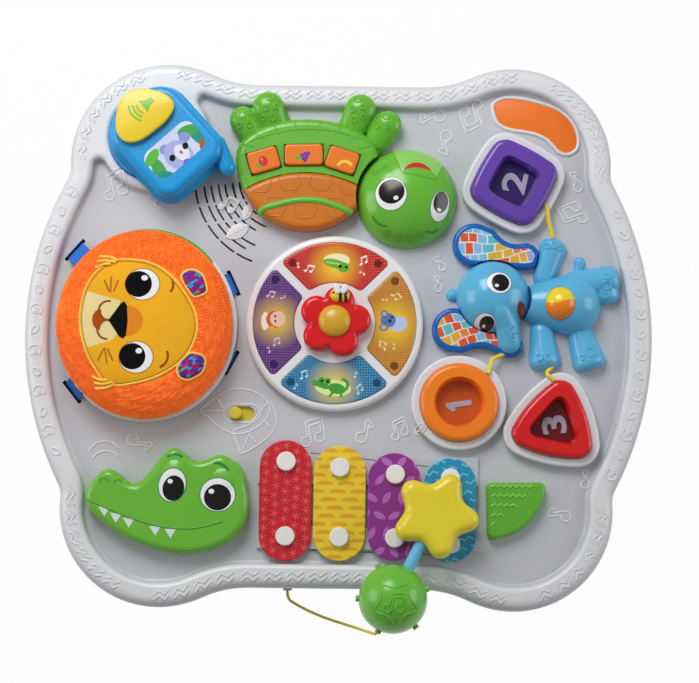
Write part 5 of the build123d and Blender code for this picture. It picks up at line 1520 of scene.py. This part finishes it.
@dataclass
class Telephone:
    """The broad cap of the telephone's button."""

    edge: tuple[Point2, ...] = (
        (-176.7, 152.5), (-169.8, 145.5), (-159, 146.3), (-147.4, 154.5), (-136.8, 164.7), (-132.2, 175.8),
        (-138.9, 184.4), (-153.2, 188.7), (-166, 187.3), (-175.6, 178.3), (-178.1, 162.1),
    )
    finish: Plastic = Plastic("cap_yellow", (236, 206, 48), 0.26)

    def build(self) -> None:
        """Lays the cap on the button, clear of the case when it is pressed."""
        top = Ground("handset_button").drop(-152, 166)[0].z / MM
        cap = Plate(rounded(self.edge, 5), top - 1.9, top + 1.7, 1.7).build()
        settle(cap, "phone_cap", self.finish.make(PHONE_KEY), "telephone_key")


@dataclass
class Digits:
    """The large rounded numerals on the floors of the shape buttons."""

    floor: float = 344.05
    stem: tuple[Point2, ...] = (
        (-2.2, -10.4), (2.2, -10.4), (2.2, 10.4), (-0.8, 10.4), (-5.8, 5.6), (-4, 2.4), (-2.2, 3.8),
    )
    stem_place: tuple[float, float, float] = (95.8, -55.9, 99)
    places: tuple[tuple[str, float, float, float, float, str], ...] = (
        ("2", 140.9, 123.3, 77, 26.5, "square_key"), ("3", 172.3, -71, 98, 26, "triangle_key"),
    )
    stretch: float = 1.35

    def build(self) -> None:
        """Raises each numeral from its floor."""
        pale = Plastic("numeral_grey", (176, 170, 188), 0.4)
        one = Plate(placed(self.stem, *self.stem_place), self.floor - 0.4, self.floor + 0.7, 0.2).build()
        settle(one, "numeral_1", pale.make(), "circle_key")
        for text, x, y, turn, size, body in self.places:
            choose()
            bpy.ops.object.text_add()
            letter = bpy.context.object.data
            letter.body = text
            letter.align_x = letter.align_y = "CENTER"
            letter.size = size * MM
            letter.offset, letter.extrude, letter.bevel_depth = 0.5 * MM, 0.4 * MM, 0.25 * MM
            letter.resolution_u = 4
            bpy.ops.object.convert(target="MESH")
            piece = bpy.context.object
            move = Matrix.Translation(at(x, y, self.floor + 0.3))
            spin = Matrix.Rotation(math.radians(turn), 4, "Z")
            piece.data.transform(move @ spin @ Matrix.Diagonal((self.stretch, 1, 1, 1)))
            weld(piece)
            settle(piece, f"numeral_{text}", pale.make(), body)


@dataclass
class Critters:
    """The fine raised details of the turtle, elephant, crocodile, mallet and bee."""

    flippers: tuple[tuple[Five, ...], ...] = (
        ((-71.5, 157.5, 6, 9.6, 6.3), (-79, 171, 8.5, 11.3, 8.3)),
        ((-53.5, 167.5, 6, 11.2, 6.3), (-59, 181.6, 9.5, 12.8, 8.3)),
        ((8.5, 165.5, 6.5, 11.4, 6.4), (15.2, 180.6, 9.5, 12.7, 8.3)),
        ((29, 156.5, 6.5, 9.6, 6.6), (37.3, 168.8, 8.5, 11.3, 8.3)),
    )
    flipper_rings: tuple[Point3, ...] = (
        (-79.3, 173.3, 2.6), (-73.8, 165.3, 2.1), (-81.3, 164.8, 1.8), (-72.3, 175.3, 1.8),
        (-57.8, 187.8, 2.8), (-60.8, 178.8, 2.3), (-52.3, 180.3, 2), (-55.3, 171.3, 2.3),
        (-62.8, 171.3, 1.7), (12.7, 187.3, 2.8), (9.2, 178.8, 2.3), (17.2, 180.3, 2.1), (10.2, 170.8, 2.2),
        (17.2, 172.8, 1.7), (35.7, 173.8, 2.7), (28.7, 166.3, 2.2), (36.7, 165.3, 1.8), (29.2, 174.8, 1.8),
    )
    plates: tuple[Point2, ...] = (
        (-64, 118), (-40.5, 120), (-16, 120), (8, 117), (-52, 99), (-28, 97.5), (-4, 99),
    )
    crest: tuple[Point2, ...] = (
        (-80.7, 138.3), (-72.9, 151.9), (-55, 158.6), (-33.1, 162.6), (-9, 162.1), (11, 156.8),
        (27.2, 148.4),
    )
    bow: tuple[Point2, ...] = ((-62.5, 94.2), (-44, 102.4), (-26.1, 104.8), (-7.2, 101.8), (13, 89.8))
    toes: tuple[Four, ...] = (
        (165.5, 71, 2.3, 2.2), (170.4, 71.6, 2.3, 2.2), (175.2, 69.6, 2.1, 2), (212.6, 46.9, 2.6, 2.6),
        (212.4, 39.6, 3.4, 3.4), (211.3, 32, 2.4, 2.4), (159.1, -18.6, 2.6, 2.6), (165.6, -18.8, 2.6, 2.6),
        (199, -14.2, 3.6, 3.6), (192.9, -18.2, 2, 2),
    )
    trunk: tuple[Five, ...] = (
        (121, 27, 19.5, 6.5, 7), (127.5, 17.5, 16.5, 9, 9), (133.2, 7, 11.5, 9.6, 9.6),
        (135.6, -6.5, 7.5, 9.2, 8.8),
    )
    mouth: tuple[Point2, ...] = (
        (-196, -133), (-170, -145), (-140, -154.5), (-112, -156.5), (-88, -150.5), (-120, -157),
    )
    scale_rows: tuple[Point2, ...] = (
        (-112.6, 158.5), (-120.2, 156.5), (-127.8, 151), (-135.4, 144.5), (-143, 135.5), (-149.8, 127),
    )
    brows: tuple[tuple[Five, ...], ...] = (
        ((-126.5, -112.5, 8.5, 15.8, 10.6), (-123.5, -122, 8.5, 15.8, 10.4)),
        ((-88.8, -119.5, 8, 18.6, 10.8),),
    )
    star: Four = (46, -211, 16.4, 11.4)

    @staticmethod
    def trim(
        name: str,
        finish: bpy.types.Material,
        slot: str,
        lines: Sequence[Run],
        ground: Ground,
        *bead: float,
    ) -> None:
        """Lays lines on the ground as beads of a radius, lift, step and number of sides."""
        body = "mallet" if name.startswith("ball") else "table"
        settle(Beading(*bead).over(lines, ground), name, finish, body)

    def turtle(self) -> None:
        """Rings on the flippers, the rim's line and divisions, the plates and the band of the shell."""
        green = Plastic("leaf_green", (104, 180, 54)).make()
        brown = Plastic("shell_brown", (196, 116, 38)).make()
        arms = Moulding(1).build(self.flippers)
        pale = Plastic("flipper_green", (100, 180, 48), 0.22).make()
        settle(arms, "flippers", pale, "table")
        circles = [(arc_points(x, y, r, r, 0, 330, 11), True) for x, y, r in self.flipper_rings]
        self.trim("flipper_rings", green, "leaf_green", circles, Ground.of(arms), 0.6, 0.05, 1.2)
        rim: list[Run] = []
        for turn in (162, 141, 120, 101, 79, 60, 39, 18):
            c, s = math.cos(math.radians(turn)), math.sin(math.radians(turn))
            rim.append(([(-27.3 + 55 * c, 141.5 + 28.5 * s), (-27.3 + 44 * c, 141.5 + 20 * s)], False))
        rim.append((rounded((*self.crest, (-20, 130)), 6)[:37], False))
        self.trim("shell_rim_lines", green, "leaf_green", rim, Ground("turtle_body"), 0.5, 0)
        shell = Ground("turtle_shell")
        plates = [(arc_points(x, y, 9.6, 8.6, 0, 300, 5), True) for x, y in self.plates]
        self.trim("shell_plates", brown, "orange_plastic", plates, shell, 0.55, -0.1)
        band = rounded((*self.bow, (-25, 80)), 8)[:33]
        self.trim("shell_band", green, "leaf_green", [(band, False)], shell, 3.2, -1.7, 2, 4)

    def elephant(self) -> None:
        """Toe rings, and a trunk with its wrinkles."""
        blue = Plastic("baby_blue", (90, 178, 220)).make()
        toes = [(arc_points(*toe, 0, 330, 11), True) for toe in self.toes]
        self.trim("toe_rings", blue, "baby_blue", toes, Ground("elephant_body"), 0.75, 0, 1.2)
        trunk = Moulding(0.9, 8).build((self.trunk,))
        settle(trunk, "trunk", blue, "table")
        wrinkles = [
            (arc_points(138.6, 1, 4.6, 4.2, 95, 265, 8), False),
            (arc_points(139.2, -3, 4, 3.6, 60, 265, 8), False),
        ]
        self.trim("trunk_wrinkles", blue, "baby_blue", wrinkles, Ground.of(trunk), 0.7, -0.1, 1.2)

    def crocodile(self) -> None:
        """The brows, the mouth's crease, the nostrils and the tail's rows of scales."""
        brows = Moulding(1.1).build(self.brows)
        skin = Plastic("brow_green", (108, 182, 56), 0.24).make(CROC_HEAD)
        settle(brows, "croc_brows", skin, "table")
        green = Plastic("crease_green", (84, 158, 40)).make()
        pale = Plastic("scale_green", (132, 206, 78), 0.22).make()
        lines = [(rounded(self.mouth, 8)[:32], False)]
        lines += [
            (arc_points(-181.5, -121, 3.4, 3, 20, 200, 8), False),
            (arc_points(-171, -122, 3, 2.6, 0, 180, 8), False),
        ]
        self.trim("croc_creases", green, "leaf_green", lines, Ground("croc_head"), 1, -0.45)
        rows: list[Run] = []
        start, pitch = 121.5, 2.45
        for y, end in self.scale_rows:
            count = int((end - start) / pitch)
            rows.append(([(start + pitch * k, y + (-1.2, 1.2)[k % 2]) for k in range(count)], False))
        self.trim("tail_scales", pale, "leaf_green", rows, Ground("croc_tail"), 0.85, -0.15, 1.2)

    def mallet(self) -> None:
        """The note and star moulded into the ball."""
        x, y, *reaches = self.star
        star: list[Point2] = []
        for k in range(10):
            turn, reach = math.radians(36 * k - 87), reaches[k % 2]
            star.append((x + reach * math.cos(turn), y + reach * math.sin(turn)))
        green = Plastic("ball_green", (104, 186, 56)).make()
        lines = [(placed(PAIR_NOTE, 44.6, -215, -10, 0.72), True), (rounded(star, 5), True)]
        self.trim("ball_emblems", green, "leaf_green", lines, Ground("mallet_ball"), 0.6, 0, 1)

    def bee(self) -> None:
        """White wings over the bee's back."""
        for k, dx in enumerate((-2.6, 3), 1):
            outline = placed(arc_points(0, 0, 2.6, 4.2, 0, 340, 17), 1.2 + dx, 31.8, -8 * dx)
            wing = Plate(outline, DECK + 25, DECK + 27.6, 1).build()
            white = Plastic("wing_white", (226, 234, 240), 0.25).make()
            settle(wing, f"bee_wing_{k}", white, "spinner")

    def build(self) -> None:
        """Adds every detail."""
        for part in (self.turtle, self.elephant, self.crocodile, self.mallet, self.bee):
            part()


def deck_painted_shade(graph: Graph, base: Term) -> Term:
    """Painted shade: the deck drawn greyer than the rim, though both are one white plastic, and fine dark
    lines painted as shade in the grooves under the chime bars.
    """
    _, _, w = graph.frame_at(0, 0)
    # Painted shade: below the rim's height the white is mixed towards grey.
    low = graph.math("SUBTRACT", 1, (w - 3.5) / 4, clamp=True)
    shaded_deck = graph.mix(low, base, (196, 198, 204))
    # Painted shade: fine dark lines in the grooves of the moulded rails under the chime bars.
    groove_shade: Colour = (104, 106, 110)
    return Print(
        (
            Line(-20.7, -95.8, 72.3, -105.5, 0.8, groove_shade), Line(-20.4, -152.9, 25, -153.7, 0.8, groove_shade),
            Line(-21.2, -172, 72.7, -174.4, 0.8, groove_shade), Line(25, -121, 25, -152, 0.8, groove_shade),
            Line(-20.6, -115.5, 72, -120.3, 0.8, groove_shade),
        )
    )(graph, shaded_deck)


def bee_stripes(graph: Graph, base: Term) -> Term:
    """Black bands over the bee."""
    u, v, _ = graph.frame_at(0.8, 27.7)
    bands = (abs(u - 0.4) - 1.25).low(abs(u - 4.6) - 1.15)
    striped = graph.mix(bands.inside(0.3), base, BLACK)
    return Print((Disc(-4.4, 29, 1, 1, BLACK),))(graph, striped)


def tummy_print(graph: Graph, base: Term) -> Term:
    """Yellow above and orange below a wavy line."""
    u, v, _ = graph.frame_at(176, 24)
    line = v - (u * 0.22).sin() * 1.4 - 0.6
    return graph.mix(line.inside(0.3), (238, 212, 48), (242, 132, 30))


def button_window_shade(x: float, y: float, dark: Colour) -> Paint:
    """Painted shade: a deeper tone down inside a button's window."""

    def paint(graph: Graph, base: Term) -> Term:
        """Darkens what lies low, as painted shade in the recess."""
        _, _, w = graph.frame_at(x, y)
        low = graph.math("SUBTRACT", 1, (w - 4.6) / 7, clamp=True)
        return graph.mix(low, base, dark)

    return paint


FINISHES: tuple[tuple[str | Colour | float | Paint, ...], ...] = (
    # The top shell wears painted shade on its deck and in its grooves.
    ("shell_white", (222, 223, 226), 0.34, "top_shell", deck_painted_shade),
    (
        "underside_white", (222, 222, 222), 0.4,
        "bottom_shell leg_front_left leg_front_right leg_back_left leg_back_right battery_door",
    ),
    ("steel_bright", (190, 190, 195), 0.3, "case_screws door_screw battery_contacts"),
    ("cell_jacket", (60, 60, 65), 0.4, "batteries"),
    ("board_green", (30, 90, 50), 0.5, "circuit_board"),
    ("lamp_clear", (235, 235, 225), 0.2, "leds"),
    ("dome_rubber", (120, 120, 120), 0.6, "switch_domes"),
    ("speaker_black", (30, 30, 32), 0.5, "speaker"),
    ("sky_blue", (24, 152, 218), 0.24, "handset_base handset_case"),
    ("view_print", (214, 230, 240), 0.12, "handset_screen", PHONE_VIEW),
    ("sun_yellow", (238, 214, 62), 0.26, "handset_button", PHONE_KEY),
    # The turtle's body carries painted shade under its keys.
    ("body_green", (100, 180, 48), 0.26, "turtle_body", KEY_GAP_SHADE),
    ("turtle_green", (104, 182, 56), 0.2, "turtle_head", TURTLE_HEAD),
    ("light_green", (142, 206, 96), 0.22, "turtle_jaw", TURTLE_JAW),
    ("shell_brown", (204, 114, 20), 0.3, "turtle_shell"),
    ("key_orange", (232, 120, 26), 0.26, "key_left key_middle key_right", FRUIT),
    ("drum_grey", (225, 228, 230), 0.4, "drum_plate"),
    ("fur_orange", (240, 110, 35), 0.9, "lion_pad"),
    ("felt_gold", (230, 165, 30), 0.9, "lion_face"),
    ("felt_purple", (110, 60, 140), 0.9, "lion_ears"),
    ("webbing_blue", (60, 120, 200), 0.8, "lion_straps"),
    ("bezel_white", (232, 232, 234), 0.24, "dial_bezel"),
    ("petal_red", (218, 26, 30), 0.18, "flower"),
    ("cap_mustard", (214, 166, 44), 0.26, "flower_cap"),
    ("bee_yellow", (240, 205, 50), 0.22, "bee", bee_stripes),
    ("baby_blue", (90, 178, 220), 0.22, "elephant_body"),
    ("elephant_blue", (90, 178, 220), 0.2, "elephant_head", ELEPHANT_HEAD),
    ("deep_blue", (14, 96, 180), 0.26, "elephant_ears"),
    ("panel_print", (90, 150, 200), 0.35, "ear_panels", patchwork),
    ("ball_print", (242, 132, 30), 0.16, "tummy_ball", tummy_print),
    # Each button's floor carries painted shade inside its window.
    ("button_orange", (244, 128, 30), 0.24, "button_circle", button_window_shade(95.9, -55, (208, 88, 20))),
    ("button_violet", (100, 64, 166), 0.24, "button_square", button_window_shade(138.6, 122.4, (50, 28, 104))),
    ("button_red", (214, 28, 30), 0.22, "button_triangle", button_window_shade(171.3, -71, (112, 14, 16))),
    ("string_yellow", (232, 204, 54), 0.4, "balloon_strings"),
    ("croc_green", (108, 182, 56), 0.24, "croc_head", CROC_HEAD),
    ("tail_green", (100, 178, 52), 0.26, "croc_tail"),
    ("bar_red", (200, 28, 38), 0.34, "bar_red", starbursts),
    ("bar_yellow", (234, 204, 46), 0.34, "bar_yellow", clouds),
    ("bar_purple", (140, 48, 140), 0.34, "bar_purple", leaves),
    ("bar_blue", (36, 142, 184), 0.34, "bar_blue", ripples),
    ("peg_cream", (234, 232, 226), 0.36, "bar_pegs"),
    ("knob_yellow", (220, 200, 54), 0.3, "volume_slider"),
    ("star_yellow", (230, 208, 50), 0.22, "mallet_star"),
    ("handle_blue", (104, 184, 226), 0.24, "mallet_handle"),
    ("ball_green", (104, 186, 56), 0.24, "mallet_ball"),
)


def main() -> None:
    """Builds the studio, then each sub-assembly in order."""
    logging.basicConfig(level=logging.INFO, format="%(name)s: %(message)s")
    Studio().build()
    for name, colour, roughness, nodes, *paint in FINISHES:
        dress(Plastic(name, colour, roughness).make(*paint), nodes)
    dress_lenses()
    TableRelief().build()
    Label().build()
    SliderEmblem().build()
    Critters().build()
    Telephone().build()
    Digits().build()
    Lion().build()
    Cord().build()
    bpy.context.view_layer.update()


if __name__ == "__main__":
    main()
